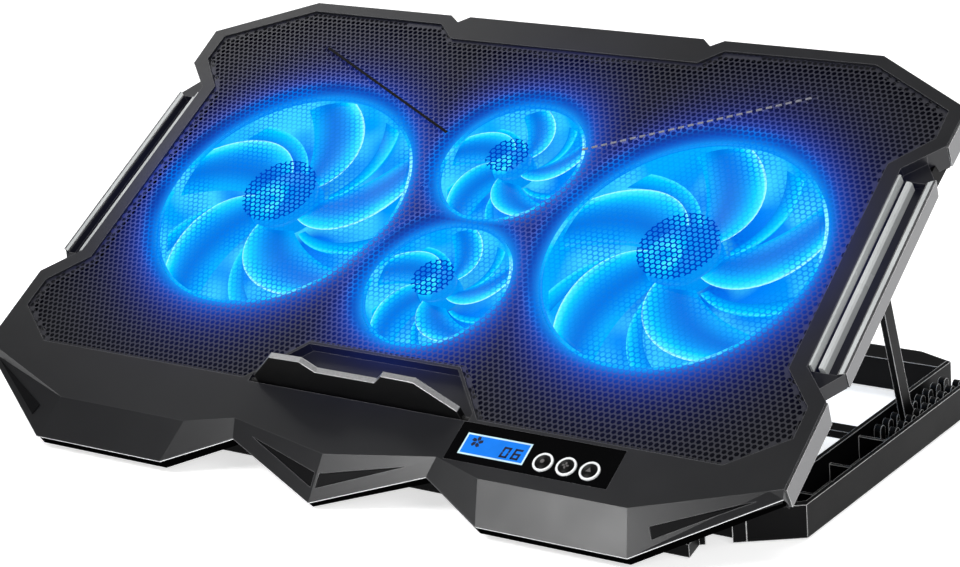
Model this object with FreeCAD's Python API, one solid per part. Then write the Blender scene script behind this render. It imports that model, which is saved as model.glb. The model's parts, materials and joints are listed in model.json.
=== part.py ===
import FreeCAD, Part

import math
import os

os.makedirs("parts", exist_ok=True)
Vector = FreeCAD.Vector

# Laptop cooling pad, in millimetres. X is across, Y runs to the back, Z is up.
# The deck is modelled flat in its own frame: x across, y to the back, z = 0 on its top face.
# place_on_deck() then tilts it about X and sets it on the base stand.

# ---- driving dimensions -------------------------------------------------------------------
DECK_TILT = 30.5  # degrees, as it stands
DECK_RAISE = 61.2  # height of the deck frame's origin over the surface
CLOSED_HEIGHT = 33.5  # top face over the surface with the deck folded down
WALL = 2.4
TOP_SKIN = 2.6
SIDE_DEPTH = 13.0  # height of the deck's side walls
SIDE_DRAFT = 1.9
DECK_BOTTOM = -17.5
COVER_SKIN = 1.5
FLAT_FRONT = -46.0  # the flat underside starts here and slopes up to the front lip

MESH_TOP = -0.9
MESH_THICK = 0.8
MESH_LEDGE = 2.0
MESH_GAP = 0.15

RAIL_DROP = -4.5  # top of the side rails, below the deck's top face
TROUGH_FLOOR = -7.8
RAIL_UNDER = -9.4
TROUGH_FAR = 11.4  # outer wall of the trough, from the rail's inner line
LAP_TOP = -3.9  # top of the bright strip that lies on the ledge outside the trough
RAIL_BACK_Y = 103.7  # ends of the trough
RAIL_FRONT_Y = 3.5

BIG_FAN_AT = (103.8, 52.7)
BIG_FAN_RADIUS = 62.2  # inside of the housing
SMALL_FAN_AT_Y = {"rear": 89.0, "front": 18.0}
SMALL_FAN_RADIUS = 34.3
BLADES = 5
LEADING_SWEEP = 50.0  # degrees from root to tip
TRAILING_SWEEP = 18.0
BLADE_ROOT = 58.0  # degrees that a blade takes up at the hub
FAN_TOP = -6.4
FAN_FLOOR = -16.0
IMPELLER_TOP = -6.2
CUP_SKIN = 2.0
STATOR_TOP = -9.2

BASE_HALF = 196.0
BASE_TOP = 14.9
BASE_UNDER = 1.0
RAIL_INNER = 176.5
RAIL_WALL = 2.1
CHANNEL_FLOOR = 2.2
RAIL_FRONT = -20.0
CHAMFER_FRONT = (160.2, -44.0)
CHAMFER_BACK = (161.6, 145.6)
RAIL_BACK = 132.6
BEAM_BACK_Y = 131.5
FRONT_BEAM_BACK = -30.0
FRONT_BEAM_TOP = 12.5

HINGE_HEIGHT = 8.5
HINGE_AT = 120.0
HINGE_HALF = 7.0
HINGE_PIN = 1.5
SLIP = 0.05  # radial clearance of a running fit

STRUT_X = 186.4
STRUT_THICK = 2.8
STRUT_WIDTH = 6.6
STRUT_TOP = (63.4, -14.5)  # pivot, in the deck's frame
STRUT_FOOT = (83.0, 10.0)  # in the stand's frame
STRUT_PIN = 1.6
TOOTH_PITCH = 7.2
TEETH = 9
TEETH_FROM = 65.0
TOOTH_TOP = 14.2
ROW_WIDTH = 3.0
ROW_GAP = 3.6
FOLDED_STEPS = 9

STOP_AT = (-48.45, -2.0)  # hinge axis of the laptop stop, (y, z) in the deck's frame
STOP_THICK = 2.9
STOP_ROD = 1.0

WINDOW = (55.1, 131.4, -70.0, -51.2)
DISPLAY = (59.9, 90.8, -66.6, -56.1)
BUTTON_X = (99.4, 110.2, 121.0)
BUTTON_Y = -63.7
BUTTON_RADIUS = 3.3
RING_RADIUS = 4.4
BUTTON_BACK = -4.4
BUTTON_TRAVEL = 1.2

USB_X = 14.5
USB_SIZE = (13.2, 14.0, 5.9)
USB_MID = -6.3

# Outline of the deck, right half, from the middle of the back edge clockwise to the front apex.
# Each row: top edge (x, y), then the lower edge as (x, y, z), or None for a drafted side wall.
OUTLINE = [
    ((61.8, 166.8), None),
    ((66.8, 163.0), None),
    ((72.4, 166.8), None),
    ((149.2, 166.8), None),
    ((196.8, 142.4), None),
    ((196.8, 121.1), None),
    ((190.6, 114.9), None),
    ((197.4, 106.0), None),
    ((201.0, 4.3), None),
    ((193.5, -4.7), None),
    ((201.3, -12.5), None),
    ((202.5, -55.0), None),
    ((196.9, -57.1), (202.3, -57.6, -3.0)),
    ((144.2, -76.5), (150.3, -94.3, -6.8)),
    ((75.0, -76.5), (80.6, -94.3, -6.8)),
    ((51.6, -70.2), (49.4, -78.3, -3.6)),
]
FRONT_APEX = ((0.0, -79.2), (0.0, -98.3, -8.3))
INDEX = {"b": 4, "c": 5, "d": 7, "g1": 8, "g3": 10, "corner": 11}
FRONT_FROM = 12  # first row of the outline that belongs to the front skirt

MESH_HALF = [
    (65.1, 152.7),
    (75.1, 161.0),
    (147.7, 161.4),
    (190.0, 140.0),
    (190.6, 124.6),
    (175.8, 108.3),
    (179.3, 0.0),
    (195.1, -16.5),
    (195.7, -31.9),
    (173.3, -49.4),
    (60.0, -49.4),
    (51.0, -39.0),
    (38.8, -25.4),
]
RAIL_LINE = [(200.0, 124.3), (182.4, 106.7), (186.3, 2.5), (203.0, -14.2)]
POCKET_HALF = [(56.5, -50.8), (56.5, -46.8), (38.2, -26.9)]


# ---- basic shapes -------------------------------------------------------------------------
def outward(solid):
    """The same solid with its faces pointing out."""
    if solid.Volume < 0:
        solid.reverse()
    return solid


def box(x0, x1, y0, y1, z0, z1):
    return Part.makeBox(x1 - x0, y1 - y0, z1 - z0, Vector(x0, y0, z0))


def prism(points, z0, z1):
    wire = Part.makePolygon([Vector(x, y, z0) for x, y in [*points, points[0]]])
    return outward(Part.Face(wire).extrude(Vector(0, 0, z1 - z0)))


def slab_x(points, x0, x1):
    """A profile of (y, z) points drawn across X."""
    wire = Part.makePolygon([Vector(x0, y, z) for y, z in [*points, points[0]]])
    return outward(Part.Face(wire).extrude(Vector(x1 - x0, 0, 0)))


def disc(x, y, z0, z1, radius):
    return Part.makeCylinder(radius, z1 - z0, Vector(x, y, z0), Vector(0, 0, 1))


def rod_x(x0, x1, y, z, radius):
    return Part.makeCylinder(radius, x1 - x0, Vector(x0, y, z), Vector(1, 0, 0))


def ring(x, y, z0, z1, outer, inner):
    return disc(x, y, z0, z1, outer).cut(disc(x, y, z0, z1, inner))


def join(shapes):
    return shapes[0].multiFuse(shapes[1:]).removeSplitter()


def flip(points, sign):
    return [(x * sign, *rest) for x, *rest in points]


def both_sides(half, middle=None):
    """The right half of an outline, its middle point if any, and the half again on the left."""
    centre = [middle] if middle else []
    return [*half, *centre, *flip(half, -1)[::-1]]


def inset(points, distance):
    """A closed outline moved inward, corner by corner. It runs clockwise seen from above."""
    result = []
    for i, here in enumerate(points):
        before, after = points[i - 1], points[(i + 1) % len(points)]
        a, b = unit(before, here), unit(here, after)
        bend = 1 + a[0] * b[0] + a[1] * b[1]
        x = here[0] + distance * (a[1] + b[1]) / bend
        y = here[1] - distance * (a[0] + b[0]) / bend
        result.append((x, y))
    return result


def unit(p, q):
    length = math.hypot(q[0] - p[0], q[1] - p[1])
    return ((q[0] - p[0]) / length, (q[1] - p[1]) / length)


def at_height(points, z):
    return [(x, y, z) for x, y in points]


def quad(a, b, c, d):
    """One flat face through four corners, or two triangles where they don't lie in a plane."""
    a, b, c, d = (Vector(*p) for p in (a, b, c, d))
    if abs((b - a).cross(c - a).dot(d - a)) < 1e-6:
        return [Part.Face(Part.makePolygon([a, b, c, d, a]))]
    return [Part.Face(Part.makePolygon([a, b, c, a])), Part.Face(Part.makePolygon([a, c, d, a]))]


def cap(points):
    corners = [Vector(*p) for p in points]
    return Part.Face(Part.makePolygon([*corners, corners[0]]))


def stack(rings):
    """A solid with flat faces through rings of equally many points. The end rings are flat."""
    faces = [cap(rings[0]), cap(rings[-1])]
    for upper, lower in zip(rings, rings[1:]):
        for i in range(len(upper)):
            j = (i + 1) % len(upper)
            faces += quad(upper[i], upper[j], lower[j], lower[i])
    shell = Part.Shell(faces)
    shell.sewShape()
    return outward(Part.Solid(shell))


# ---- outlines of the deck -----------------------------------------------------------------
top_outline = both_sides([top for top, _ in OUTLINE], FRONT_APEX[0])
drafted = inset(top_outline, SIDE_DRAFT)


def lower_half():
    """Lower edge of the frame, right half: a drafted wall's foot, or the skirt's rim."""
    points = []
    for (_, rim), (x, y) in zip(OUTLINE, drafted):
        points.append(rim or (x, y, -SIDE_DEPTH))
    return points


rim_outline = both_sides(lower_half(), FRONT_APEX[1])
front_rows = range(FRONT_FROM, len(top_outline) - FRONT_FROM)


def from_rim(distance, down_front, down_side=None):
    """The frame's lower edge moved inward, and down by one amount in front and another aside."""
    plan = inset([p[:2] for p in rim_outline], distance)
    result = []
    for i, ((x, y), edge) in enumerate(zip(plan, rim_outline)):
        down = down_front if i in front_rows or down_side is None else down_side
        result.append((x, y, edge[2] - down))
    return result


def flat_bottom(distance, z):
    """Outline of the deck's flat underside: inset from the top edge, cut square in front."""
    plan = inset(top_outline, distance)
    right, left = FRONT_FROM - 1, len(plan) - FRONT_FROM
    result = []
    for i, (x, y) in enumerate(plan):
        if right <= i <= left:
            y = FLAT_FRONT
        if i in (right + 1, left - 1):
            x = math.copysign(plan[right][0] - 0.6, x)
        result.append((x, y, z))
    return result


def on_rail(y, offset):
    """A point beside the inner line of a side rail, moved outward from it."""
    back, front = RAIL_LINE[1:3]
    t = (y - back[1]) / (front[1] - back[1])
    return (back[0] + (front[0] - back[0]) * t + offset, y)


def rail_strip(back_y, front_y, near, far):
    """Plan of a strip along a side rail."""
    return [on_rail(back_y, near), on_rail(front_y, near), on_rail(front_y, far), on_rail(back_y, far)]


# ---- deck frame ---------------------------------------------------------------------------
def frame_envelope():
    closing = at_height(inset(top_outline, 7.0), -SIDE_DEPTH - 0.2)
    return stack([at_height(top_outline, 0.0), rim_outline, closing])


def frame_shell():
    """The frame's skin, open below."""
    ceiling = at_height(inset(top_outline, WALL), -TOP_SKIN)
    return stack([at_height(top_outline, 0.0), rim_outline, from_rim(2.2, 1.2, 0.0), ceiling])


def rail_cuts(sign):
    """What is taken off for one side rail: the lowered strip, then its trough."""
    far = [(240.0, RAIL_LINE[-1][1]), (240.0, RAIL_LINE[0][1])]
    lowered = prism(flip([*RAIL_LINE, *far], sign), RAIL_DROP, 2.0)
    trough = rail_strip(RAIL_BACK_Y, RAIL_FRONT_Y, 1.4, TROUGH_FAR)
    return lowered.fuse(prism(flip(trough, sign), TROUGH_FLOOR, 0.0))


def rail_block(sign):
    """The material that a side rail is cut from, before the frame's outline trims it."""
    zone = [(198.9, 125.4), (180.8, 107.4), (184.7, 1.8), (202.0, -15.5)]
    far = [(240.0, -15.5), (240.0, 125.4)]
    return prism(flip([*zone, *far], sign), RAIL_UNDER, 0.0)


def skirt_slot(corners, depth):
    """A tapered slot sunk in a facet of the skirt, given by its three corners on the facet."""
    a, b, tip = (Vector(*p) for p in corners)
    normal = (b - a).cross(tip - a).normalize()
    if normal.z < 0:
        normal = -normal
    face = Part.Face(Part.makePolygon([p + normal for p in (a, b, tip, a)]))
    return outward(face.extrude(-normal * (depth + 1.0)))


def skirt_slots(sign):
    outer = [(155.1, -81.2, -2.2), (157.6, -85.6, -3.9), (193.3, -61.5, -1.6)]
    centre = [(1.2, -86.6, -3.2), (1.2, -92.4, -5.7), (39.4, -76.4, -1.8)]
    return [skirt_slot(flip(corners, sign), 0.9) for corners in (outer, centre)]


def usb_opening(sign):
    x = USB_X * sign
    half_wide = USB_SIZE[0] / 2 + 0.3
    half_high = USB_SIZE[2] / 2 + 0.3
    return box(x - half_wide, x + half_wide, 150.0, 175.0, USB_MID - half_high, USB_MID + half_high)


def deck_frame():
    envelope = frame_envelope()
    blocks = [rail_block(sign).common(envelope) for sign in (1, -1)]
    floor = prism(both_sides([(59.0, -52.4), (59.0, -48.0), (40.0, -25.6)]), -6.2, -2.0)
    frame = frame_shell().multiFuse([*blocks, floor])
    mesh = both_sides(MESH_HALF)
    cuts = [
        prism(mesh, MESH_TOP - MESH_THICK, 2.0),
        prism(inset(mesh, MESH_LEDGE), -2.8, 2.0),
        prism(both_sides(POCKET_HALF), -4.6, 2.0),
        rod_x(-58.2, 58.2, *STOP_AT, STOP_ROD),
        window_seat(),
    ]
    for sign in (1, -1):
        cuts += [rail_cuts(sign), usb_opening(sign), strut_slot(sign), *skirt_slots(sign)]
    return frame.cut(Part.Compound(cuts)).removeSplitter()


def window_seat():
    x0, x1, y0, y1 = WINDOW
    gap = 0.15
    seat = box(x0 - gap, x1 + gap, y0 - gap, y1 + gap, -0.9, 2.0)
    display = box(58.4, 92.2, -68.2, -54.4, -4.0, 0.0)
    buttons = box(93.4, 127.1, -69.4, -58.0, -4.0, 0.0)
    return join([seat, display, buttons])


def side_trims():
    """Bright strips on the outer side walls, three on each side. The rail's laps over its ledge."""
    spans = {"rear": ("b", "c", -0.8), "rail": ("d", "g1", LAP_TOP), "front": ("g3", "corner", -0.8)}
    trims = {}
    for where, (start, end, top) in spans.items():
        corners = [wall_point(start, top), wall_point(end, top)]
        corners += [wall_point(end, -SIDE_DEPTH), wall_point(start, -SIDE_DEPTH)]
        face = cap(corners)
        normal = face.normalAt(0, 0)
        if normal.x < 0:
            normal = -normal
        right = outward(face.extrude(normal * 0.7))
        if where == "rail":
            right = right.fuse(ledge_lap()).removeSplitter()
        trims[f"trim_{where}_right"] = right
        trims[f"trim_{where}_left"] = right.mirror(Vector(0, 0, 0), Vector(1, 0, 0))
    return trims


def ledge_lap():
    """The part of a rail's strip that lies on the ledge outside the trough."""
    inner = [on_rail(RAIL_FRONT_Y, TROUGH_FAR + 0.1), on_rail(RAIL_BACK_Y, TROUGH_FAR + 0.1)]
    outer = [wall_point(name, LAP_TOP)[:2] for name in ("d", "g1")]
    return prism([*inner, *outer], RAIL_DROP, LAP_TOP)


def wall_point(name, z):
    """A point on a drafted side wall, straight below a named corner of the outline."""
    i = INDEX[name]
    (x0, y0), (x1, y1) = top_outline[i], drafted[i]
    t = -z / SIDE_DEPTH
    return (x0 + (x1 - x0) * t, y0 + (y1 - y0) * t, z)


# ---- bottom cover -------------------------------------------------------------------------
def fan_places():
    """name: (x, y, inner radius of the housing)"""
    x, y = BIG_FAN_AT
    places = {"left": (-x, y, BIG_FAN_RADIUS), "right": (x, y, BIG_FAN_RADIUS)}
    for name, at in SMALL_FAN_AT_Y.items():
        places[name] = (0.0, at, SMALL_FAN_RADIUS)
    return places


def intake(x, y, radius):
    """Ring slots of the air intake under a fan, crossed by six spokes."""
    count = 6 if radius > 50 else 4
    inner, outer = 0.3 * radius, radius - 4.0
    step = (outer - inner) / count
    rings = [ring(x, y, -20.0, -14.0, inner + step * (i + 0.7), inner + step * i)
             for i in range(count)]
    spokes = []
    for i in range(6):
        bar = box(x, x + radius, y - 1.6, y + 1.6, -21.0, -13.0)
        bar.rotate(Vector(x, y, 0), Vector(0, 0, 1), 60 * i + 30)
        spokes.append(bar)
    return Part.Compound(rings).cut(Part.Compound(spokes))


def strut_slot(sign, top=-10.6, wall=0.0, low=-22.0):
    """The long groove in the underside that takes a folded strut, or that groove with its walls."""
    x = STRUT_X * sign
    half = 3.6 + wall
    return box(x - half, x + half, 55.8 - wall, 141.8 + wall, low, top)


def groove_walls(sign, frame):
    """Closes the strut's groove off from the inside of the deck."""
    walls = strut_slot(sign, RAIL_UNDER + 1.2, wall=1.2, low=DECK_BOTTOM + 0.5)
    return walls.cut(strut_slot(sign, RAIL_UNDER)).cut(frame)


def hinge_deck_yz():
    """The deck hinge's axis in the deck's frame, from its height and the folded height."""
    tilt = math.radians(DECK_TILT)
    z = HINGE_HEIGHT - CLOSED_HEIGHT
    y = (HINGE_HEIGHT - DECK_RAISE - z * math.cos(tilt)) / math.sin(tilt)
    return y, z


def knuckles():
    y, z = hinge_deck_yz()
    shapes = []
    for sign in (1, -1):
        x0, x1 = HINGE_AT * sign - HINGE_HALF, HINGE_AT * sign + HINGE_HALF
        web = box(x0, x1, y - 3.0, y + 3.0, z, -14.0)
        shapes += [web, rod_x(x0, x1, y, z, 3.6)]
    return shapes


def cover_shell():
    """A shallow tray: up its outside, over its edge under the frame, and down its inside."""
    outside = [flat_bottom(8.0, DECK_BOTTOM), from_rim(1.2, 3.6, 1.6), from_rim(1.0, 0.9, 0.3)]
    inside = [from_rim(2.8, 1.6, 0.3), from_rim(3.0, 2.6, 0.8)]
    return stack([*outside, *inside, flat_bottom(9.4, DECK_BOTTOM + COVER_SKIN)])


def bottom_cover(frame):
    posts = [disc(x, y, FAN_FLOOR - 0.5, -8.6, 2.0) for x in (61.0, 125.0) for y in (-56.0, -47.0)]
    walls = [groove_walls(sign, frame) for sign in (1, -1)]
    cover = cover_shell().multiFuse([*knuckles(), *posts, *walls])
    y, z = hinge_deck_yz()
    cuts = [intake(*place) for place in fan_places().values()]
    for sign in (1, -1):
        x0 = HINGE_AT * sign - HINGE_HALF - 1.0
        cuts += [strut_slot(sign), rod_x(x0, x0 + 2 * HINGE_HALF + 2.0, y, z, HINGE_PIN + SLIP)]
    return cover.cut(Part.Compound(cuts)).removeSplitter()


# ---- panel, lights and controls -------------------------------------------------------------
def mesh_panel():
    outline = inset(both_sides(MESH_HALF), MESH_GAP)
    return prism(outline, MESH_TOP - MESH_THICK, MESH_TOP)


def light_bar(sign):
    """Bar that stands in a side rail's trough, with a chamfer along its outer top edge."""
    wide = rail_strip(RAIL_BACK_Y - 1.0, RAIL_FRONT_Y + 1.0, 3.2, 5.6)
    slim = rail_strip(RAIL_BACK_Y - 1.0, RAIL_FRONT_Y + 1.0, 3.2, 4.8)
    return stack([at_height(flip(slim, sign), -3.0), at_height(flip(wide, sign), -3.8),
                  at_height(flip(wide, sign), TROUGH_FLOOR)])


def accent_strip(sign):
    """Narrow strip on the inner wall of a side rail."""
    plan = rail_strip(RAIL_BACK_Y, RAIL_FRONT_Y, 0.02, 1.1)
    return prism(flip(plan, sign), RAIL_DROP, -0.5)


def control_window():
    x0, x1, y0, y1 = WINDOW
    plate = box(x0, x1, y0, y1, -0.9, 0.3)
    dx0, dx1, dy0, dy1 = DISPLAY
    holes = [box(dx0 - 0.1, dx1 + 0.1, dy0 - 0.1, dy1 + 0.1, -2.0, 2.0)]
    holes += [disc(x, BUTTON_Y, -2.0, 2.0, RING_RADIUS + 0.1) for x in BUTTON_X]
    return plate.cut(Part.Compound(holes))


def lcd_module():
    x0, x1, y0, y1 = DISPLAY
    glass = box(x0, x1, y0, y1, -2.0, 0.15)
    body = box(x0 - 1.2, x1 + 1.2, y0 - 1.2, y1 + 1.2, -5.0, -1.0)
    legs = box(x0 + 4.0, x1 - 4.0, y1 - 0.6, y1 + 0.4, -7.0, -5.0)
    return join([glass, body, legs])


def button_bezel():
    plate = box(94.0, 126.5, -69.0, -58.4, -2.6, -1.0)
    collars = [disc(x, BUTTON_Y, -1.0, 0.9, RING_RADIUS) for x in BUTTON_X]
    bores = [disc(x, BUTTON_Y, -3.0, 2.0, BUTTON_RADIUS + 0.2) for x in BUTTON_X]
    return join([plate, *collars]).cut(Part.Compound(bores))


def button(x):
    """Domed cap with a flange that keeps it behind the bezel."""
    stem = disc(x, BUTTON_Y, BUTTON_BACK, 0.7, BUTTON_RADIUS)
    flange = disc(x, BUTTON_Y, BUTTON_BACK, BUTTON_BACK + 1.2, RING_RADIUS)
    sphere_radius = 10.0
    centre = Vector(x, BUTTON_Y, 1.5 - sphere_radius)
    dome = Part.makeSphere(sphere_radius, centre).common(disc(x, BUTTON_Y, 0.0, 2.0, BUTTON_RADIUS))
    return join([stem, flange, dome])


def control_pcb():
    board = box(57.0, 129.4, -69.5, -45.6, -8.6, -7.0)
    switches = []
    for x in BUTTON_X:
        switches += [box(x - 3, x + 3, BUTTON_Y - 3, BUTTON_Y + 3, -7.0, -6.4),
                     disc(x, BUTTON_Y, -6.4, BUTTON_BACK - BUTTON_TRAVEL - 0.4, 1.6)]
    chip = box(72.0, 82.0, -53.5, -47.5, -7.0, -5.6)
    plug = box(100.0, 110.0, -51.0, -46.4, -7.0, -3.6)
    return join([board, *switches, chip, plug])


# ---- fans -----------------------------------------------------------------------------------
def fan_housing(x, y, radius):
    wall = 2.0 if radius > 50 else 0.9
    hub = 0.27 * radius
    shell = ring(x, y, FAN_FLOOR, FAN_TOP, radius + wall, radius)
    plate = disc(x, y, FAN_FLOOR, FAN_FLOOR + 1.6, hub)
    arms = []
    for i in range(3):
        arm = box(x, x + radius + 0.5 * wall, y - 2.0, y + 2.0, FAN_FLOOR, FAN_FLOOR + 1.6)
        arm.rotate(Vector(x, y, 0), Vector(0, 0, 1), 120 * i + 30)
        arms.append(arm)
    return join([shell, plate, *arms])


def fan_stator(x, y, radius):
    core = disc(x, y, FAN_FLOOR + 1.6, STATOR_TOP, 0.17 * radius)
    shaft = disc(x, y, STATOR_TOP, IMPELLER_TOP - 0.6, 1.2)
    coil = disc(x, y, -12.8, -10.2, 0.19 * radius)
    return join([core, coil, shaft])


def blade(x, y, hub, tip, turn):
    """A swept blade. Its leading edge is high and curves round; its trailing edge is low."""
    thick = 1.0
    sections = []
    for step in range(5):
        part = step / 4
        radius = hub + (tip - hub) * part
        lead = math.radians(turn + LEADING_SWEEP * part ** 1.4)
        trail = math.radians(turn + BLADE_ROOT + TRAILING_SWEEP * part)
        high = IMPELLER_TOP - 0.4
        low = -12.8 + 1.2 * part
        corners = []
        for angle, z in ((lead, high), (trail, low + thick), (trail, low), (lead, high - thick)):
            corners.append(Vector(x + radius * math.cos(angle), y + radius * math.sin(angle), z))
        sections.append(Part.makePolygon([*corners, corners[0]]))
    return outward(Part.makeLoft(sections, True, True))


def impeller(x, y, radius):
    hub, tip = 0.272 * radius, radius - 1.7
    ceiling = IMPELLER_TOP - CUP_SKIN
    cup = disc(x, y, -13.2, IMPELLER_TOP, hub)
    inside = disc(x, y, -13.2, ceiling, hub - 1.6)
    bore = disc(x, y, ceiling, IMPELLER_TOP - 0.4, 1.2 + SLIP)
    blades = [blade(x, y, hub - 0.8, tip, 35 + 360 / BLADES * i) for i in range(BLADES)]
    return join([cup.cut(inside).cut(bore), *blades])


# ---- sockets and struts -----------------------------------------------------------------------
def usb_board():
    top = USB_MID - USB_SIZE[2] / 2
    board = box(-27.0, 27.0, 143.0, 162.0, top - 1.6, top)
    plug = box(-5.0, 5.0, 144.0, 149.0, top, top + 3.4)
    return join([board, plug])


def usb_socket(sign):
    wide, deep, high = USB_SIZE
    x, back = USB_X * sign, 165.4
    shell = box(x - wide / 2, x + wide / 2, back - deep, back, USB_MID - high / 2, USB_MID + high / 2)
    mouth = box(x - wide / 2 + 0.5, x + wide / 2 - 0.5, back - 11.0, back + 1.0,
                USB_MID - high / 2 + 0.5, USB_MID + high / 2 - 0.5)
    tongue = box(x - 5.0, x + 5.0, back - 11.5, back - 1.0, USB_MID + 0.3, USB_MID + 2.1)
    return join([shell.cut(mouth), tongue])


def strut_bracket(sign):
    """Two cheeks under a roof, with the pin that a strut turns on."""
    x = STRUT_X * sign
    y, z = STRUT_TOP
    half = STRUT_THICK / 2 + 0.35
    cheeks = [box(x - half - 1.5, x - half, y - 6.0, y + 6.0, -17.3, -10.4),
              box(x + half, x + half + 1.5, y - 6.0, y + 6.0, -17.3, -10.4)]
    roof = box(x - half - 1.5, x + half + 1.5, y - 6.0, y + 6.0, -10.4, RAIL_UNDER)
    return join([*cheeks, roof, rod_x(x - half - 1.5, x + half + 1.5, y, z, STRUT_PIN)])


def stop_profile():
    """Outline of the laptop stop seen from the front, as (x, height over the axis)."""
    right = [(15.2, 15.2), (20.9, 20.6), (36.8, 20.2), (52.0, 5.4), (52.0, 0.0)]
    return [*right, *flip(right, -1)[::-1]]


def laptop_stop():
    y, z = STOP_AT
    points = [Vector(x, y - STOP_THICK / 2, z + h) for x, h in stop_profile()]
    plate = outward(Part.Face(Part.makePolygon([*points, points[0]])).extrude(
        Vector(0, STOP_THICK, 0)))
    barrel = rod_x(-52.0, 52.0, y, z, STOP_THICK / 2)
    return join([plate, barrel]).cut(rod_x(-60.0, 60.0, y, z, STOP_ROD + SLIP))


def strut_line():
    """Pivot and foot of a strut in the stand's frame, its length and its angle."""
    top = deck_to_stand(*STRUT_TOP, DECK_TILT)
    dy, dz = STRUT_FOOT[0] - top[0], STRUT_FOOT[1] - top[1]
    return top, math.hypot(dy, dz), math.degrees(math.atan2(dz, dy))


def strut(sign):
    """A flat leg with round ends and a small toe behind its foot. It lies in the stand's frame."""
    x = STRUT_X * sign
    x0, x1 = x - STRUT_THICK / 2, x + STRUT_THICK / 2
    top, length, angle = strut_line()
    half = STRUT_WIDTH / 2
    leg = slab_x([(0, -half), (length, -half), (length, half), (0, half)], x0, x1)
    ends = [rod_x(x0, x1, 0, 0, half), rod_x(x0, x1, length, 0, half)]
    toe = slab_x([(length - 7, half), (length, half), (length + 1.5, half + 1.6),
                  (length - 2.0, half + 1.6)], x0, x1)
    toe = toe.fuse(slab_x([(length, 0), (length + half, 0), (length + 1.5, half + 1.6),
                           (length, half)], x0, x1))
    shape = join([leg, *ends, toe])
    shape = shape.cut(rod_x(x0 - 1, x1 + 1, 0, 0, STRUT_PIN + SLIP))
    shape.rotate(Vector(0, 0, 0), Vector(1, 0, 0), angle)
    shape.translate(Vector(0, *top))
    return shape


# ---- the stand ----------------------------------------------------------------------------
def deck_to_stand(y, z, tilt):
    """A point of the deck's frame in the stand's frame, with the deck at any tilt."""
    hinge_y, hinge_z = hinge_deck_yz()
    start, now = math.radians(DECK_TILT), math.radians(tilt)
    axis_y = hinge_y * math.cos(start) - hinge_z * math.sin(start)
    dy, dz = y - hinge_y, z - hinge_z
    return (axis_y + dy * math.cos(now) - dz * math.sin(now),
            HINGE_HEIGHT + dy * math.sin(now) + dz * math.cos(now))


def strut_ratio():
    """Turn of a strut on the deck for each degree of deck tilt: it folds flat as the deck shuts."""
    _, _, angle = strut_line()
    return (angle - DECK_TILT) / DECK_TILT


def foot_path(tilt):
    """Where the middle of a strut's foot is with the deck at any tilt."""
    _, length, angle = strut_line()
    on_deck = angle - DECK_TILT + strut_ratio() * (tilt - DECK_TILT)
    top = deck_to_stand(*STRUT_TOP, tilt)
    a = math.radians(on_deck + tilt)
    return top[0] + length * math.cos(a), top[1] + length * math.sin(a)


def chamfer_y(x, corner, end_y):
    """Height in plan of a chamfer that runs from the rail's outer corner to a beam."""
    t = (BASE_HALF - x) / (BASE_HALF - corner[0])
    return end_y + (corner[1] - end_y) * t


def base_rail(sign):
    x0, x1 = RAIL_INNER, BASE_HALF
    front_in = chamfer_y(x0, CHAMFER_FRONT, RAIL_FRONT)
    back_in = chamfer_y(x0, CHAMFER_BACK, RAIL_BACK)
    plan = [(x1, RAIL_FRONT), (x1, RAIL_BACK), (x0, back_in), (x0, front_in)]
    body = prism(flip(plan, sign), BASE_UNDER, BASE_TOP)
    inner = [(x1 - RAIL_WALL, RAIL_FRONT + 3.4), (x1 - RAIL_WALL, 160.0),
             (x0 + RAIL_WALL, 160.0), (x0 + RAIL_WALL, front_in + 3.8)]
    body = body.cut(prism(flip(inner, sign), CHANNEL_FLOOR, 20.0))
    ribs = []
    for y, top in ((1.0, 9.5), (31.0, 9.5), (56.0, 12.0)):
        ends = sorted((sign * (x0 + 1.0), sign * (x1 - 1.0)))
        ribs.append(box(*ends, y - 0.8, y + 0.8, BASE_UNDER, top))
    return join([body, *ribs])


def front_beam():
    corner_x, corner_y = CHAMFER_FRONT
    inner_y = chamfer_y(RAIL_INNER, CHAMFER_FRONT, RAIL_FRONT)
    half = [(RAIL_INNER, FRONT_BEAM_BACK), (RAIL_INNER, inner_y), (corner_x, corner_y)]
    beam = prism(both_sides(half), BASE_UNDER, FRONT_BEAM_TOP)
    hinge_y, hinge_z = deck_to_stand(*hinge_deck_yz(), DECK_TILT)
    tabs, cuts = [], []
    for sign in (1, -1):
        tab = [(161.3, corner_y + 1.0), (164.0, -55.0), (151.8, -55.0), (143.0, corner_y + 1.0)]
        tabs.append(prism(flip(tab, sign), BASE_UNDER, 6.5))
        x0 = sign * HINGE_AT - HINGE_HALF - 0.6
        x1 = sign * HINGE_AT + HINGE_HALF + 0.6
        cuts.append(box(x0, x1, -60.0, hinge_y + 5.4, 0.0, 20.0))
        cuts.append(rod_x(x0 - 6.0, x1 + 6.0, hinge_y, hinge_z, HINGE_PIN))
    for x0, x1 in ((-172.0, -140.0), (-100.0, -4.0), (4.0, 100.0), (140.0, 172.0)):
        cuts.append(box(x0, x1, corner_y + 2.2, FRONT_BEAM_BACK - 2.2, 0.0, FRONT_BEAM_TOP - 2.2))
    return join([beam, *tabs]).cut(Part.Compound(cuts))


def middle_beam():
    return box(-RAIL_INNER, RAIL_INNER, 52.0, 59.5, 11.0, 14.4)


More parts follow.
